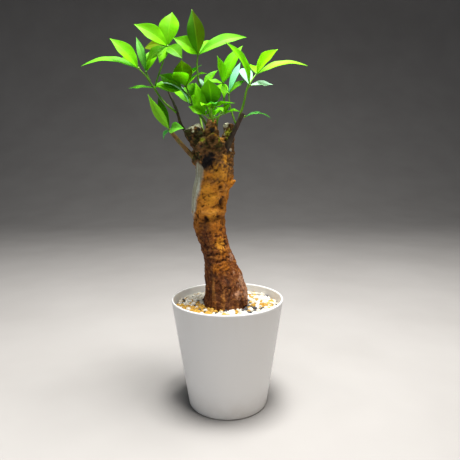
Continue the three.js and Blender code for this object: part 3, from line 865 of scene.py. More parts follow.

# %% [markdown]
# The trunk has colours at known places, its own and painted light and shade. Cut faces are pale wood, and
# the hollows are painted almost black as painted shade. Dark moss clothes the old stubs and yellow-green
# lichen the pale one. Gold brightens patches below the crown and on it, rust runs down the right side of
# the bend and a painted umber shade down the left, and a painted pinkish highlight lies on the ridges low
# on the right. Each colour has its raggedness, the softness of its edge, and its patches, every one with a
# place and a reach.

# %% Paint the patches
PATCHES = {
    "cut": (0.30, 0.22, [
        ((-38, -4, 301.5), 7.5), ((-30, -5, 301.5), 6.5), ((-33, -11, 297), 1.5), ((-33, -11, 294), 1.3),
        ((-3, -6, 297), 3.9), ((-1, -4, 302), 4.2), ((-4, -6, 291), 3.2), ((-18, 18, 297), 6.5),
        ((-36, 15, 276), 3.5), ((4, -5, 275), 2.2),
    ]),
    # painted shade: the hollows are painted almost black
    "hollow_shade": (0.45, 0.35, [
        ((-13, -20, 285), 3.0), ((-25, -19, 279), 1.7), ((-18, -18, 265), 7.0), ((-14, -17, 270), 4.5),
        ((-22, -17, 260), 4.0), ((-14, -12, 295), 3.6), ((-27, -10, 296), 2.2), ((-36, -11, 287), 2.6),
    ]),
    "moss": (0.80, 0.60, [
        ((-39, -9, 292), 11.0), ((-28, -9, 291), 8.0), ((-29, -8, 284), 9.0), ((-28, -12, 270), 7.0),
        ((-32, -5, 268), 6.0), ((-8, -14, 279), 7.0), ((-18, -14, 280), 6.0), ((-16, 14, 285), 11.0),
        ((-30, 8, 276), 9.0), ((-2, 6, 282), 9.0),
    ]),
    "lichen_and_highlight": (0.50, 0.50, [
        ((2, -6, 292), 5.0), ((3, -6, 285), 4.0), ((-7, -16, 286), 3.4), ((-12, -15, 291), 3.2),
        ((-24, -12, 284), 3.8),
    ]),
    "gold": (0.90, 0.70, [
        ((-16, -19, 228), 11.0), ((-20, -18, 236), 8.0), ((-15, -19, 211), 7.0), ((-6, -16, 179), 8.0),
        ((-6, -17, 252), 10.0), ((0, -13, 266), 6.5), ((-3, -9, 286), 4.0), ((-6, -17, 281), 3.6),
        ((-18, -17, 290), 3.0), ((-10, -17, 291), 3.0), ((-14, -9, 297), 4.5), ((-12, -8, 303), 3.5),
        ((2, 8, 236), 12.0), ((-26, 12, 226), 10.0),
    ]),
    "rust": (0.90, 0.80, [
        ((-9, -15, 196), 9.0), ((-7, -15, 183), 10.0), ((-5, -16, 170), 9.0), ((-1, -18, 157), 8.0),
        ((-10, -20, 155), 6.0),
    ]),
    # painted shade: umber darkens the left side of the bend
    "umber_shade": (0.90, 0.80, [
        ((-23, -17, 198), 8.0), ((-21, -14, 186), 9.0), ((-19, -13, 173), 9.0), ((-18, -14, 160), 9.0),
        ((-16, -16, 145), 9.0), ((-17, -18, 129), 9.0), ((1, -21, 142), 5.0), ((-24, 6, 150), 14.0),
    ]),
    # painted highlight: pinkish patches on the ridges low on the right
    "painted_shade_and_highlight": (0.80, 0.60, [
        ((16, -9, 140), 9.0), ((20, -10, 126), 8.0), ((12, -17, 150), 6.0), ((13, -20, 127), 6.0),
        ((4, -10, 166), 5.0), ((16, 14, 132), 10.0),
    ]),
}


def patch(places, ragged, edge, spots):
    broken = np.array([noise.noise(Vector(p) * 0.4) for p in places])
    mask = np.zeros(len(places))
    for centre, radius in spots:
        away = np.linalg.norm(places - np.array(centre), axis=1) / radius + ragged * broken
        mask = np.maximum(mask, np.clip((1 - away) / edge, 0, 1))
    return mask


seen = mesh_places(trunk) / MM
for name, (ragged, edge, spots) in PATCHES.items():
    mask = patch(seen, ragged, edge, spots)
    keep(trunk, name, mask)
    print(name, "covers", f"{mask.mean():.1%}")

# %% [markdown]
# ### The bark's finish
#
# The bark runs from a dark reddish brown at the foot through orange brown to golden orange below the
# crown, and the crown itself is a dark olive brown. Over that go two mottlings, a broad one and a fine
# one, then the painted patches, each as a layer of its own, among them painted shade and painted
# highlights.
# Painted shade turns the cracks almost black, the pale strip, partly a painted rim of light, has thin
# upright streaks, and a strong bump gives the rough touch.

# %% Finish the trunk
BARK_FOOT = colour(0.155, 0.052, 0.018), colour(0.080, 0.026, 0.011)
BARK_BY_HEIGHT = [
    (125, 160, colour(0.21, 0.058, 0.009)),
    (198, 226, colour(0.72, 0.270, 0.020)),
    (254, 270, colour(0.17, 0.095, 0.032)),
]
BARK_BROAD = colour(0.16, 0.048, 0.014)
BARK_SPECKS = [
    (0.55, 1.0, 0.75, colour(0.055, 0.018, 0.008)),
    (0.40, 0.0, 0.55, colour(0.62, 0.250, 0.050)),
]
BARK_LAYERS = [
    ("umber_shade", 0.70, colour(0.070, 0.028, 0.017)),
    ("rust", 0.75, colour(0.66, 0.215, 0.012)),
    ("gold", 0.80, colour(0.90, 0.390, 0.030)),
    ("painted_shade_and_highlight", 0.70, colour(0.66, 0.360, 0.220)),
    ("ridge_highlight", 0.65, colour(0.74, 0.350, 0.080)),
    # partly painted light: the pale strip also paints the rim of light along the trunk's left edge
    ("strip", 1.00, colour(0.68, 0.700, 0.580)),
    ("moss", 0.92, colour(0.040, 0.044, 0.010)),
    ("lichen_and_highlight", 0.92, colour(0.50, 0.520, 0.030)),
    ("crevice_shade", 0.95, colour(0.028, 0.011, 0.006)),
    ("cut", 1.00, colour(0.92, 0.850, 0.660)),
    ("hollow_shade", 0.97, colour(0.010, 0.008, 0.009)),
]
LAYER_SHADE = 0.45
STRIP_STREAKS = colour(0.33, 0.27, 0.140)


def bark_finish():
    material, tree = new_finish("baobab_bark", specular_ior_level=0.18)
    mottle, _ = grain(tree, 105.0, (1, 1, 1.5), 4.0)
    speck, height = grain(tree, 260.0, (1, 1, 1.6), 5.0)
    _, fine = grain(tree, 520.0, detail=4.0)
    climb = calc(tree, "ADD", height_above_base(tree), times(tree, mottle, 22 * MM))
    body = blend(tree, mottle, *BARK_FOOT)
    for low, high, tint in BARK_BY_HEIGHT:
        body = blend(tree, spread(tree, climb, low * MM, high * MM), body, tint)
    body = blend(tree, times(tree, mottle, 0.45), body, BARK_BROAD)
    for low, high, strength, tint in BARK_SPECKS:
        body = blend(tree, spread(tree, speck, low, high, 0.0, strength), body, tint)
    for name, strength, tint in BARK_LAYERS:
        shaded = colour(*(LAYER_SHADE * part for part in tint[:3]))
        layer = blend(tree, times(tree, speck, 0.55), tint, shaded)
        body = blend(tree, times(tree, painted(tree, name), strength), body, layer)
    streak, _ = grain(tree, 330.0, (1, 1, 0.06))
    streak = times(tree, spread(tree, streak, 0.35, 0.75, 0.0, 0.7), painted(tree, "strip"))
    body = blend(tree, streak, body, STRIP_STREAKS)
    relief = calc(tree, "ADD", times(tree, height, 0.7), times(tree, fine, 0.3))
    return coat(material, body, spread(tree, speck, 0.0, 1.0, 0.55, 0.90), (relief, 1.1, 0.8))


trunk.data.materials.append(bark_finish())
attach(trunk, "root")
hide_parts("trunk")

# %% [markdown]
# ## The peeling strip
#
# On the left of the trunk a papery strip of old bark lifts off. A flat grid is bent to the trunk: one of
# its directions runs up the stem, the other a little way round it. Its edges are ragged and curl outward,
# and Solidify gives it the thickness of bark.

# %% Model the peeling strip
PEEL_FOOT = 210.5
PEEL_LENGTH = 46
PEEL_MIDDLE = 187
PEEL_HALF = 11
PEEL_GAP = 0.25
PEEL_CURL = 0.6
PEEL_THICKNESS = 0.5


def peel_place(across, up):
    ragged = 1 + 0.35 * noise.noise((up * 3.5, 2 * across, 3.0))
    z = PEEL_FOOT + PEEL_LENGTH * up
    turn = math.radians(PEEL_MIDDLE + PEEL_HALF * across * ragged * (1 - 0.7 * abs(2 * up - 1) ** 4))
    x, y, radius = smooth_line(TRUNK_LINE, z)
    curl = 0.35 * across**4 + 0.5 * abs(2 * up - 1) ** 6 + 0.2 * noise.noise((up * 5, across, 0.0))
    reach = radius + PEEL_GAP + PEEL_CURL * curl
    return Vector((x + reach * math.cos(turn), y + reach * math.sin(turn), z)) * MM


bpy.ops.object.select_all(action="DESELECT")
bpy.ops.mesh.primitive_grid_add(x_subdivisions=10, y_subdivisions=48, size=2)
peel = named("peeling_bark")
for vertex in peel.data.vertices:
    vertex.co = peel_place(vertex.co.x, (vertex.co.y + 1) / 2)
close_up(peel, 0.001)
finish_with(peel, "SOLIDIFY", thickness=PEEL_THICKNESS * MM, offset=0.0)
soften(peel, 60)
print(count(peel))

# %% [markdown]
# Old bark that has come loose dries out: it is pale, with brown fibres that run up the stem, and it has a
# dull sheen like paper. Its pale colour also paints the rim of light along the trunk's left edge.

# %% Finish the peeling strip
def peel_finish():
    material, tree = new_finish("papery_bark", specular_ior_level=0.35)
    shade, height = grain(tree, 160.0, (1, 1, 0.15), 4.0)
    # partly painted light: the pale colour also paints the rim of light along the trunk's left edge
    body = blend(tree, shade, colour(0.68, 0.70, 0.57), colour(0.40, 0.36, 0.22))
    return coat(material, body, spread(tree, height, 0.3, 0.7, 0.45, 0.7), (height, 0.3, 0.6))


peel.data.materials.append(peel_finish())
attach(peel, "root")
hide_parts("bark_peel")

# %% [markdown]
# ## The brown twigs
#
# Three woody twigs stand in the crown: a short one on the left that carries a leaf, a thin dead one, and
# a stout cut one on the right. They are limbs, a little slimmer than the solids that they replace, with
# the same kind of carved skin as the trunk, only finer.

# %% Model the twigs
TWIGS = {
    "twig_left": ([(-25, -2, 262), (-34, -4, 269), (-44, -9, 280), (-54.5, -16, 293)], (3.8, 2.5)),
    "twig_dead": ([(-37, 0, 290), (-46, 2, 301), (-50, 0, 315), (-58, -2, 334.5)], (2, 1.1)),
    "twig_right": ([(-4, -6, 266), (0, -8, 276), (8.4, -10, 294), (17.3, -12, 311)], (4.4, 2.2)),
}
TWIG_SHARES = {"twig_left": 0.76, "twig_dead": 0.95, "twig_right": 0.88}
BUMP_HEIGHT = 0.35


def twig(name, route, radii):
    piece = limb(f"brown_{name}", route, [TWIG_SHARES[name] * radius for radius in radii], 6, 14)
    places, normals = mesh_places(piece), mesh_normals(piece)
    points = [Vector(place) for place in places / MM]
    bumps = np.array([noise.noise(point * 0.35) + 0.5 * noise.noise(point * 1.1) for point in points])
    put_places(piece, places + normals * bumps[:, None] * BUMP_HEIGHT * MM)
    # painted shade: the low places between the bumps are darkened
    keep(piece, "crevice_shade", np.clip(-bumps, 0, 1))
    return soften(piece, 60)


twigs = {name: twig(name, *values) for name, values in TWIGS.items()}
for piece in twigs.values():
    print(count(piece))

# %% [markdown]
# The left twig is mossy, the dead one carries a pale grey painted highlight below its dark tip, and the
# cut one is a dark brown. All three have the same layers: two tones of bark, patches that fade above the
# height
# `patch_top`, and crevices darkened with painted shade.

# %% Finish the twigs
PATCH_FADE = 6


def twig_finish(name, tints, patch_top):
    pale, dark, patches = [colour(*tint) for tint in tints]
    material, tree = new_finish(name, specular_ior_level=0.35)
    shade, height = grain(tree, 260.0, (1, 1, 0.35), 5.0)
    body = blend(tree, shade, pale, dark)
    # the patches: moss on the left twig, a painted highlight on the dead one, dark patches on the cut one
    lichen_and_highlight, _ = grain(tree, 90.0, (1, 1, 0.6), 2.0)
    top = spread(tree, height_above_base(tree), patch_top * MM, (patch_top + PATCH_FADE) * MM, 1.0, 0.1)
    share = times(tree, spread(tree, lichen_and_highlight, 0.55, 0.95, 0.0, 0.7), top)
    body = blend(tree, share, body, patches)
    body = blend(tree, painted(tree, "crevice_shade"), body, colour(0.02, 0.012, 0.008))
    return coat(material, body, spread(tree, shade, 0.0, 1.0, 0.5, 0.8), (height, 0.4, 0.8))


TWIG_LOOKS = {
    "twig_left": ("mossy_twig", [(0.26, 0.14, 0.03), (0.08, 0.04, 0.015), (0.13, 0.20, 0.02)], 295),
    # painted highlight: the dead twig's pale grey patches, fading above 309 mm
    "twig_dead": ("dead_twig", [(0.10, 0.068, 0.035), (0.025, 0.018, 0.012), (0.50, 0.50, 0.44)], 309),
    "twig_right": ("cut_twig", [(0.095, 0.058, 0.035), (0.025, 0.015, 0.011), (0.075, 0.060, 0.025)], 315),
}
for name, piece in twigs.items():
    piece.data.materials.append(twig_finish(*TWIG_LOOKS[name]))
    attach(piece, "root")
    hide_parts(name)

# %% [markdown]
# ## The leaves
#
# A baobab's leaf is a hand of leaflets that meet at the top of one stalk. Each leaflet is a pointed oval
# with a crease along its middle. A leaf is thin, so light shows through it, and that glow makes the plant
# look alive.
#
# One leaflet is modelled flat: a grid that is two units wide and two long, made solid by Solidify. Every
# leaflet of the plant is a copy of it that is bent to its own length, width, arch and wave. The bend also
# mirrors the blade, which turns it inside out, so the flat one's faces are turned round beforehand.

# %% Model one flat leaflet
bpy.ops.object.select_all(action="DESELECT")
bpy.ops.mesh.primitive_grid_add(x_subdivisions=8, y_subdivisions=22, size=2, calc_uvs=True)
flat_leaflet = named("flat_leaflet")
finish_with(flat_leaflet, "SOLIDIFY", thickness=1.0, offset=0.0)
with editing(flat_leaflet):
    bpy.ops.mesh.flip_normals()
print(count(flat_leaflet))

# %% [markdown]
# The outline widens quickly from the stalk, is widest near the middle and ends in a drawn-out drip tip.
# Along its length the blade rises in an arch and sways a little to one side. Across, its two halves fold
# up from the midrib, which stands out as a rib below, and the margins wave and flutter a little.

# %% Bend a leaflet into its place
OUTLINE = [
    (0.0, 0.10), (0.07, 0.27), (0.16, 0.56), (0.27, 0.82), (0.38, 0.97), (0.5, 0.99), (0.63, 0.86),
    (0.76, 0.58), (0.86, 0.33), (0.93, 0.15), (1.0, 0.025),
]
BLADE_START = 1.1
BLADE_THICKNESS = 0.42
RIB_DEPTH = 0.45
RIB_WIDTH = 0.13
FOLD = 0.26
ARCH = 0.09
WAVE = 0.7
FLUTTER = 0.25
SWAY = 0.02


def toward(azimuth, elevation):
    turn, lift = math.radians(azimuth), math.radians(elevation)
    return np.array([math.cos(lift) * math.cos(turn), math.cos(lift) * math.sin(turn), math.sin(lift)])


def bend_leaflet(flat, base, facing, forward, length, width, arch, phase):
    up = facing - forward * facing.dot(forward)
    up /= np.linalg.norm(up)
    left = np.cross(up, forward)
    across, share, face = flat[:, 0], (flat[:, 1] + 1) / 2, np.sign(flat[:, 2])
    outline = smooth_line(OUTLINE, share)[:, 0]
    half = width / 2 * outline
    reach = BLADE_START + (length - BLADE_START) * share
    fold = FOLD * half * (np.sqrt(across**2 + 0.02) - 0.14)
    wave = across * np.abs(across) * WAVE * outline * np.sin(7 * share + phase)
    wave += FLUTTER * np.abs(across) ** 3 * outline * np.sin(19 * share + 2 * phase)
    rib = RIB_DEPTH * (1 - 0.8 * share) * np.exp(-((across / RIB_WIDTH) ** 2)) * (face < 0)
    thickness = BLADE_THICKNESS / 2 * face * (1 - 0.5 * share)
    height = arch * length * 4 * share * (1 - share) + fold + wave + thickness - rib
    sway = SWAY * length * np.sin(math.pi * share + phase) * share
    return base + np.outer(reach, forward) + np.outer(across * half + sway, left) + np.outer(height, up)


# %% [markdown]
# ### Where every leaflet grows
#
# Each shoot has the route and the radii of its stem, and then its leaves. A leaf has the route of its
# stalk, the azimuth and elevation that its hand faces, and a row for each leaflet: azimuth, elevation,
# length, width and tone, then its painted sheen and the rise of its arch where it has one of its own. Tone
# runs from -1, a painted sunlit yellow-green, over 0, fresh green, and 1, deep green, to 2, olive. Small
# tones are the leaflets' own variation, while deep green and olive paint the shade on leaflets that lie in
# shadow. Two tones in brackets give each half of the blade its own. The painted sheen is a painted
# reflection, blue-green at first and whitish at 1.

# %% The shoots on the left
SHOOTS = {
    "leaves_low_left": (
        [(-52.2, -14.5, 290.1), (-54, -15.7, 292.4), (-55.6, -16.8, 295)],
        (1.3, 1.2),
        [
            ([(-54.5, -16, 293), (-55.6, -16.8, 295)], (250, 20), [
                (207, 58, 39, 9, -0.7, 0.1), (146, 68, 35, 10, 1.0), (305, -2, 28, 11, 0.3, 0.1),
                (112, -18, 25, 7, 0.4, 0.4), (120, 40, 32, 9, 0.5),
            ]),
        ],
    ),
    "shoot_left": (
        [(-50.4, -0.2, 313.2), (-54, -0.8, 316.4), (-62, -1, 323), (-72, -2, 337), (-79, -3, 348)],
        (1.5, 1.1),
        [
            ([(-79, -3, 348), (-83, -5, 352), (-86.5, -6, 356)], (250, 50), [
                (187, 1, 55, 12, 0.15, 0.05, 0.13), (198, 45, 37, 17, 0.1), (133, 22, 38, 14, 0.4),
            ]),
            ([(-76, -2.5, 344), (-79.8, -2, 353)], (265, 45), [
                (140, 70, 38, 8, 0.6, 0.1), (64, 51, 34, 14, 0.15), (85, 56, 26, 8, 0.15),
            ]),
            ([(-70, -1.8, 334.5), (-72, -3, 338)], (270, 60), [
                (170, 0, 27, 6, 0.1, 0.1, 0.03), (312, -16, 25, 12, 0.3), (30, 15, 18, 10, 0.4),
            ]),
            ([(-72, -2, 337), (-67.6, -4, 348), (-62, -9, 360), (-55.5, -16, 374)], (266, 32), [
                (205, 27, 36, 18, 0.1), (67, 74, 35, 20, 0.0), (313, -33, 28, 15, 0.8, 0.0, 0.07),
                (140, 5, 36, 16, 1.5), (235, -55, 22, 11, 0.15), (198, -38, 27, 12, 0.45),
            ]),
        ],
    ),
    "shoot_mid_left": (
        [(-17.5, 0, 294), (-21, -5, 303), (-27, -9.5, 311), (-32.5, -12, 317.4)],
        (1.9, 1.2),
        [
            ([(-27, -9.5, 311), (-35, -12.5, 320)], (250, 65), [
                (200, 31, 36, 12, 0.3, 0.92, 0.18), (127, 30, 37, 14, 0.15), (88, 39, 41, 15, 0.35),
            ]),
            ([(-32.5, -12, 317.4), (-35, -13, 327), (-39, -14, 337)], (200, 78), [
                (261, 55, 26, 19, 1.4), (53, 28, 36, 12, -0.6), (58, 42, 37, 9, 0.2),
                (245, 22, 24, 17, 0.1),
            ]),
            ([(-35, -13, 327), (-42, -16, 333)], (262, 25), [
                (178, 33, 27, 15, 0.75), (190, 8, 22, 12, 0.3),
            ]),
        ],
    ),
}

# %% The shoots in the middle
SHOOTS |= {
    "shoot_centre": (
        [
            (-14, -3, 298), (-15.6, -4, 308), (-20, -6, 320), (-23.6, -8, 332), (-27, -10, 345),
            (-28, -10, 358),
        ],
        (1.9, 1.1),
        [
            ([(-27, -10, 345), (-28, -10, 358), (-26.7, -10, 367.5)], (272, 28), [
                (228, 81, 41, 17, (0.9, 1.45)), (15, 22, 53, 13, 0.1, 0.05, 0.13),
                (201, 29, 28, 18, 0.2), (104, 27, 46, 16, 0.3), (60, 28, 40, 13, 0.35),
            ]),
            ([(-20.6, -6.4, 322), (-22.5, -10, 330), (-21.8, -12, 336.5)], (270, 45), [
                (40, 45, 25, 8, 0.05), (140, 60, 10, 4, 0.2, 1.0),
            ]),
        ],
    ),
    "shoot_mid_right": (
        [(-10, -4, 297), (-8, -7, 307), (-2, -10, 315), (-1.3, -13, 321), (-2.5, -16, 332)],
        (1.7, 1.1),
        [
            ([(-1.3, -13, 321), (-2.5, -16, 332), (-2.4, -18, 339)], (270, 50), [
                (249, 60, 26, 10, 0.1), (25, 61, 42, 13, 0.1), (75, 35, 28, 12, 0.3),
                (277, -60, 18, 7, 0.2), (200, -5, 20, 8, 0.4),
            ]),
        ],
    ),
    "shoot_front": (
        [(-12.4, -7.6, 299), (-13, -11.5, 304.5), (-14, -17, 309), (-14, -22, 315)],
        (1.6, 1.1),
        [
            ([(-14, -17, 309), (-14, -22, 315)], (60, 80), [
                (265, 56, 29, 20, 0.95), (252, -2, 25, 12, 0.15), (281, 4, 22, 8, 0.5, 0.3),
                (300, -15, 24, 10, 0.6), (345, 8, 24, 8, 0.3), (165, 32, 24, 11, 0.3),
            ]),
            ([(-13.2, -13, 306), (-8, -15.5, 307.5), (-1, -14, 311)], (270, 75), [
                (322, 4, 16, 7, 0.2), (285, 28, 16, 7, 0.6), (12, 6, 16, 7, 0.1),
            ]),
            ([(-13.2, -13, 306), (-17, -17, 306), (-20, -20, 309)], (265, 20), [
                (198, 72, 31, 10, 0.1), (190, 25, 18, 8, 0.3), (285, -5, 13, 7, 0.4),
            ]),
        ],
    ),
}

# %% The shoots on the right and at the back
SHOOTS |= {
    "shoot_right": (
        [(6, 0, 288), (11, -2, 298.5), (14, -4, 309), (18, -5, 321), (21, -7, 334), (23, -8, 339)],
        (1.8, 1.2),
        [
            ([(21, -7, 334), (24, -8, 338.5)], (270, 50), [
                (221, 49, 48, 15, 0.2, 0.0, 0.12), (102, 36, 38, 13, 0.3, 0.9),
                (28, 5, 28, 9, 0.3, 1.0, 0.05),
            ]),
            ([(23, -8, 339), (27, -5, 345), (31, -2, 350.5)], (270, 50), [
                (330, 42, 31, 20, -0.45), (9, 10, 54, 10, -0.5, 0.05, 0.12), (90, 23, 35, 13, 0.0),
            ]),
            ([(11, -2, 299), (7, -1, 310), (4, 0, 321), (3, 1, 332)], (270, 50), [
                (60, 54, 43, 7, 0.6, 0.68), (14, 38, 22, 7, 0.65), (120, 20, 32, 12, 0.3),
            ]),
            ([(13.4, -3.8, 307), (19, -6, 308.5)], (270, 75), [
                (20, -2, 29, 6, 0.25, 0.3, 0.15),
            ]),
        ],
    ),
    "shoot_back_left": (
        [(-21, 7, 280), (-24, 15, 293), (-27, 22, 307), (-29, 26, 318)],
        (2, 1.1),
        [
            ([(-27, 22, 307), (-29, 26, 318)], (120, 65), [
                (165, 55, 30, 12, 0.3), (130, 45, 38, 14, 0.2, 0.1), (95, 22, 36, 14, 0.35),
                (60, 64, 30, 11, 0.15), (240, 40, 26, 10, 0.4),
            ]),
        ],
    ),
    "shoot_back_right": (
        [(-6, 8, 276), (-9, 17, 290), (-12, 26, 303), (-13, 30, 313)],
        (2.1, 1.1),
        [
            ([(-12, 26, 303), (-13, 30, 313)], (85, 65), [
                (52, 24, 32, 13, 0.3), (88, 14, 35, 14, 0.2), (127, 18, 30, 13, 0.4, 0.1),
                (60, 58, 26, 10, 0.5), (205, 55, 22, 9, 0.35),
            ]),
        ],
    ),
}
print("leaflets:", sum(len(rows) for _, _, leaves in SHOOTS.values() for _, _, rows in leaves))

# %% [markdown]
# A shoot is put together as it grows: the stem, then for each leaf its stalk, a small knuckle where the
# leaflets meet, and the leaflets. Stems are a little slimmer than the solids, and those that lie in shadow
# are darkened with painted shade. Stems and blades have different finishes, so each shoot has two material
# slots.

# %% Build the shoots
PETIOLE_RADII = (0.9, 0.7)
KNUCKLE_RADIUS = 1.3
STEM_SHARE = 0.82
STEM_SHADE = {"shoot_mid_left": 0.85, "shoot_centre": 0.6, "shoot_left": 0.45, "shoot_mid_right": 0.35}
USUAL_STEM_SHADE = 0.2
growth = random.Random(20)
flat = mesh_places(flat_leaflet)


def leaflet(base, facing, azimuth, elevation, length, width, tone, painted_sheen=0.0, arch=ARCH):
    piece = copied(flat_leaflet)
    phase = growth.uniform(0, 2 * math.pi)
    bent = bend_leaflet(flat, base, facing, toward(azimuth, elevation), length, width, arch, phase)
    put_places(piece, bent * MM)
    left_tone, right_tone = tone if isinstance(tone, tuple) else (tone, tone)
    keep(piece, "tone", np.where(flat[:, 0] > 0, left_tone, right_tone))
    keep(piece, "painted_sheen", np.full(len(flat), painted_sheen))
    return piece


def knuckle(place):
    bpy.ops.object.select_all(action="DESELECT")
    bpy.ops.mesh.primitive_ico_sphere_add(
        subdivisions=2, radius=KNUCKLE_RADIUS * MM, location=Vector(place) * MM
    )
    return settle(named("knuckle"))


def build_shoot(name, route, radii, leaves):
    stems = [limb("stem", route, [STEM_SHARE * radius for radius in radii], roundness=2, steps=5)]
    blades = []
    for stalk, facing, rows in leaves:
        stems += [limb("stalk", stalk, PETIOLE_RADII, roundness=2, steps=5), knuckle(stalk[-1])]
        blades += [leaflet(np.array(stalk[-1], float), toward(*facing), *row) for row in rows]
    # painted shade: stems that lie in shadow get a darker green
    stem_shade = STEM_SHADE.get(name, USUAL_STEM_SHADE)
    for stem in stems:
        keep(stem, "tone", np.full(len(stem.data.vertices), stem_shade))
        stem.data.materials.append(STEM_FINISH)
    for blade in blades:
        blade.data.materials.append(LEAF_FINISH)
    full_name = name.replace("shoot_", "leafy_shoot_").replace("leaves_", "leafy_twig_")
    return soften(joined(blades + stems, full_name), 75)


# %% [markdown]
# ### The leaf's finish
#
# A leaf is a mix of two shaders: a satin skin, and a Translucent one for the light that comes through
# from behind. The veins follow the leaflet's own UV map: a midrib down the middle, and side veins that
# leave it in a slant. They are a little paler and are pressed into the blade. Tone and the painted sheen
# are read from the points and pick the green, with painted shade, painted sunlight and a painted
# reflection.

# %% Veins from the leaflet's own map
SIDE_VEINS = 11.0
VEIN_SLANT = 4.5


def from_middle(tree, value):
    return calc(tree, "ABSOLUTE", calc(tree, "SUBTRACT", value, 0.5))


def vein_mask(tree):
    place = split_up(tree, tree.nodes.new("ShaderNodeUVMap").outputs["UV"])
    across = from_middle(tree, place["X"])
    midrib = spread(tree, across, 0.012, 0.045, 1.0, 0.0)
    slant = calc(tree, "SUBTRACT", times(tree, place["Y"], SIDE_VEINS), times(tree, across, VEIN_SLANT))
    side = spread(tree, from_middle(tree, calc(tree, "FRACT", slant)), 0.0, 0.08, 1.0, 0.0)
    side = times(tree, side, spread(tree, across, 0.05, 0.48, 0.35, 0.05))
    return calc(tree, "MAXIMUM", midrib, side)


# %% Finish the leaves
# painted light and shade: LEAF_DEEP and LEAF_OLIVE paint leaflets in shadow, LEAF_SUNLIT paints sunlight
LEAF_FRESH = colour(0.30, 0.82, 0.004), colour(0.20, 0.66, 0.003)
LEAF_DEEP = colour(0.075, 0.30, 0.004), colour(0.045, 0.20, 0.003)
LEAF_OLIVE = colour(0.24, 0.21, 0.002)
LEAF_SUNLIT = colour(0.50, 0.88, 0.004)
LEAF_VEINS = colour(0.42, 0.84, 0.03)
PAINTED_SHEEN_BLUE_GREEN = colour(0.17, 0.74, 0.42)
PAINTED_SHEEN_WHITISH = colour(0.60, 0.80, 0.72)
LEAF_GLOW = colour(0.62, 1.0, 0.03)
GLOW_SHARE = 0.5


def leaf_finish():
    material, tree = new_finish("leaf_blade", roughness=0.5, specular_ior_level=0.12)
    veins = vein_mask(tree)
    shade, _ = grain(tree, 90.0)
    tone, painted_sheen = painted(tree, "tone"), painted(tree, "painted_sheen")
    # painted shade and light: tone darkens leaflets in shadow and lightens sunlit ones
    body = blend(tree, tone, blend(tree, shade, *LEAF_FRESH), blend(tree, shade, *LEAF_DEEP))
    body = blend(tree, spread(tree, tone, 1.0, 2.0), body, LEAF_OLIVE)
    body = blend(tree, spread(tree, tone, 0.0, -1.0), body, LEAF_SUNLIT)
    body = blend(tree, times(tree, veins, 0.35), body, LEAF_VEINS)
    # painted reflection: the painted sheen pales the blade towards blue-green and white
    body = blend(tree, spread(tree, painted_sheen, 0.0, 0.7, 0.0, 0.9), body, PAINTED_SHEEN_BLUE_GREEN)
    body = blend(tree, spread(tree, painted_sheen, 0.6, 1.0, 0.0, 0.85), body, PAINTED_SHEEN_WHITISH)
    coat(material, body, relief=(calc(tree, "SUBTRACT", 1.0, veins), 0.25, 0.6))
    glow = tree.nodes.new("ShaderNodeBsdfTranslucent")
    feed(tree, glow.inputs["Color"], blend(tree, 0.35, body, LEAF_GLOW))
    mix = tree.nodes.new("ShaderNodeMixShader")
    mix.inputs[0].default_value = GLOW_SHARE
    tree.links.new(tree.nodes["Principled BSDF"].outputs[0], mix.inputs[1])
    tree.links.new(glow.outputs[0], mix.inputs[2])
    tree.links.new(mix.outputs[0], tree.nodes["Material Output"].inputs["Surface"])
    return material


# %% [markdown]
# A young stem is green and turns to brown wood near the crown. How dark its green is, a painted shade for
# stems that lie in shadow, stands on its points as a tone, as with the leaves.

# %% Finish the stems
STEM_GREEN = colour(0.26, 0.56, 0.02), colour(0.11, 0.32, 0.014)
STEM_SHADED_GREEN = colour(0.035, 0.085, 0.008)
STEM_WOOD = colour(0.16, 0.085, 0.025)


def stem_finish():
    material, tree = new_finish("green_stem", roughness=0.45, specular_ior_level=0.3)
    shade, height = grain(tree, 240.0, (1, 1, 0.3), 4.0)
    climb = calc(tree, "ADD", height_above_base(tree), times(tree, shade, 12 * MM))
    young = blend(tree, painted(tree, "tone"), blend(tree, shade, *STEM_GREEN), STEM_SHADED_GREEN)
    body = blend(tree, spread(tree, climb, 288 * MM, 312 * MM), STEM_WOOD, young)
    return coat(material, body, relief=(height, 0.15, 0.5))


# %% [markdown]
# Both finishes are made once, and every shoot is then built from its plan in the same way. After that the
# flat leaflet has done its work and is removed.

# %% Grow every shoot
LEAF_FINISH = leaf_finish()
STEM_FINISH = stem_finish()
for name, plan in SHOOTS.items():
    shoot = build_shoot(name, *plan)
    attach(shoot, "root")
    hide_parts(name)
    print(count(shoot))
bpy.data.objects.remove(flat_leaflet)

# %% [markdown]
# ## The studio
#
# The plant stands on a plain pale floor that sweeps up behind it, so that no horizon cuts the picture. It
# is a plane whose back edge is extruded upwards. The fold is rounded with a bevel, and the whole is
# widened, so that its ends lie outside the picture. A studio is large, so its sizes are in metres.

# %% Model the floor
FLOOR_SIZE = 6.0
FLOOR_RISE = 4.0
FLOOR_SWEEP = 1.6
FLOOR_WIDENING = 2.5


def pick_edges(obj, wanted):
    bpy.ops.mesh.select_all(action="DESELECT")
    sheet = bmesh.from_edit_mesh(obj.data)
    for edge in sheet.edges:
        edge.select_set(all(wanted(vertex.co) for vertex in edge.verts))
    bmesh.update_edit_mesh(obj.data)


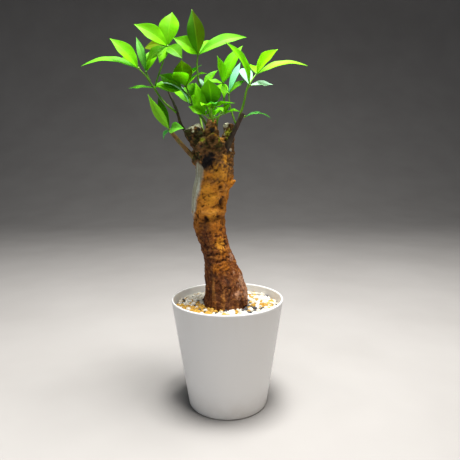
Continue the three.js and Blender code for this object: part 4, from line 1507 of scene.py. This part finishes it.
bpy.ops.object.select_all(action="DESELECT")
bpy.ops.mesh.primitive_plane_add(size=FLOOR_SIZE)
floor = named("studio_floor")
with editing(floor):
    bpy.ops.mesh.select_mode(type="EDGE")
    pick_edges(floor, lambda place: place.y > FLOOR_SIZE / 2 - 0.1)
    bpy.ops.mesh.extrude_edges_move(TRANSFORM_OT_translate={"value": (0, 0, FLOOR_RISE)})
    pick_edges(floor, lambda place: place.y > FLOOR_SIZE / 2 - 0.1 and place.z < 0.1)
    bpy.ops.mesh.bevel(offset=FLOOR_SWEEP, segments=24)
    bpy.ops.mesh.select_all(action="SELECT")
    bpy.ops.transform.resize(value=(FLOOR_WIDENING, 1, 1))
soften(floor, 60)


def floor_finish():
    material, tree = new_finish("pale_floor", roughness=0.7, specular_ior_level=0.2)
    shade, _ = grain(tree, 6.0)
    return coat(material, blend(tree, shade, colour(0.37, 0.355, 0.345), colour(0.34, 0.325, 0.315)))


floor.data.materials.append(floor_finish())

# %% [markdown]
# A soft light hangs above the plant, a little in front: it fills the pot's inside and shines through the
# leaves, while the pot's outside stays in soft shade. Two weak lights from the front open the shadows. The
# lamps themselves are hidden from the camera, so that no view shows them.

# %% Light the studio
SKY = colour(0.80, 0.84, 0.90)
SKY_STRENGTH = 0.12
LIGHTS = [
    ("lamp_above", (0.06, -0.07, 1.15), 0.40, 34.0, (1.0, 0.99, 0.96)),
    ("fill_left", (-1.5, -1.4, 0.8), 1.2, 3.0, (0.80, 0.90, 1.0)),
    ("fill_right", (1.3, -1.4, 0.6), 1.2, 4.0, (1.0, 0.84, 0.66)),
]
TARGET = Vector((0.0, 0.0, 0.22))
for name, place, size, power, tint in LIGHTS:
    bpy.ops.object.light_add(type="AREA", location=place)
    light = named(name)
    light.data.size = size
    light.data.energy = power
    light.data.color = tint
    light.rotation_euler = (TARGET - light.location).to_track_quat("-Z", "Y").to_euler()
    light.visible_camera = False

world = bpy.data.worlds.new("soft_room")
bpy.context.scene.world = world
world.use_nodes = True
background = world.node_tree.nodes["Background"]
background.inputs["Color"].default_value = SKY
background.inputs["Strength"].default_value = SKY_STRENGTH
print("lights:", [entry[0] for entry in LIGHTS])
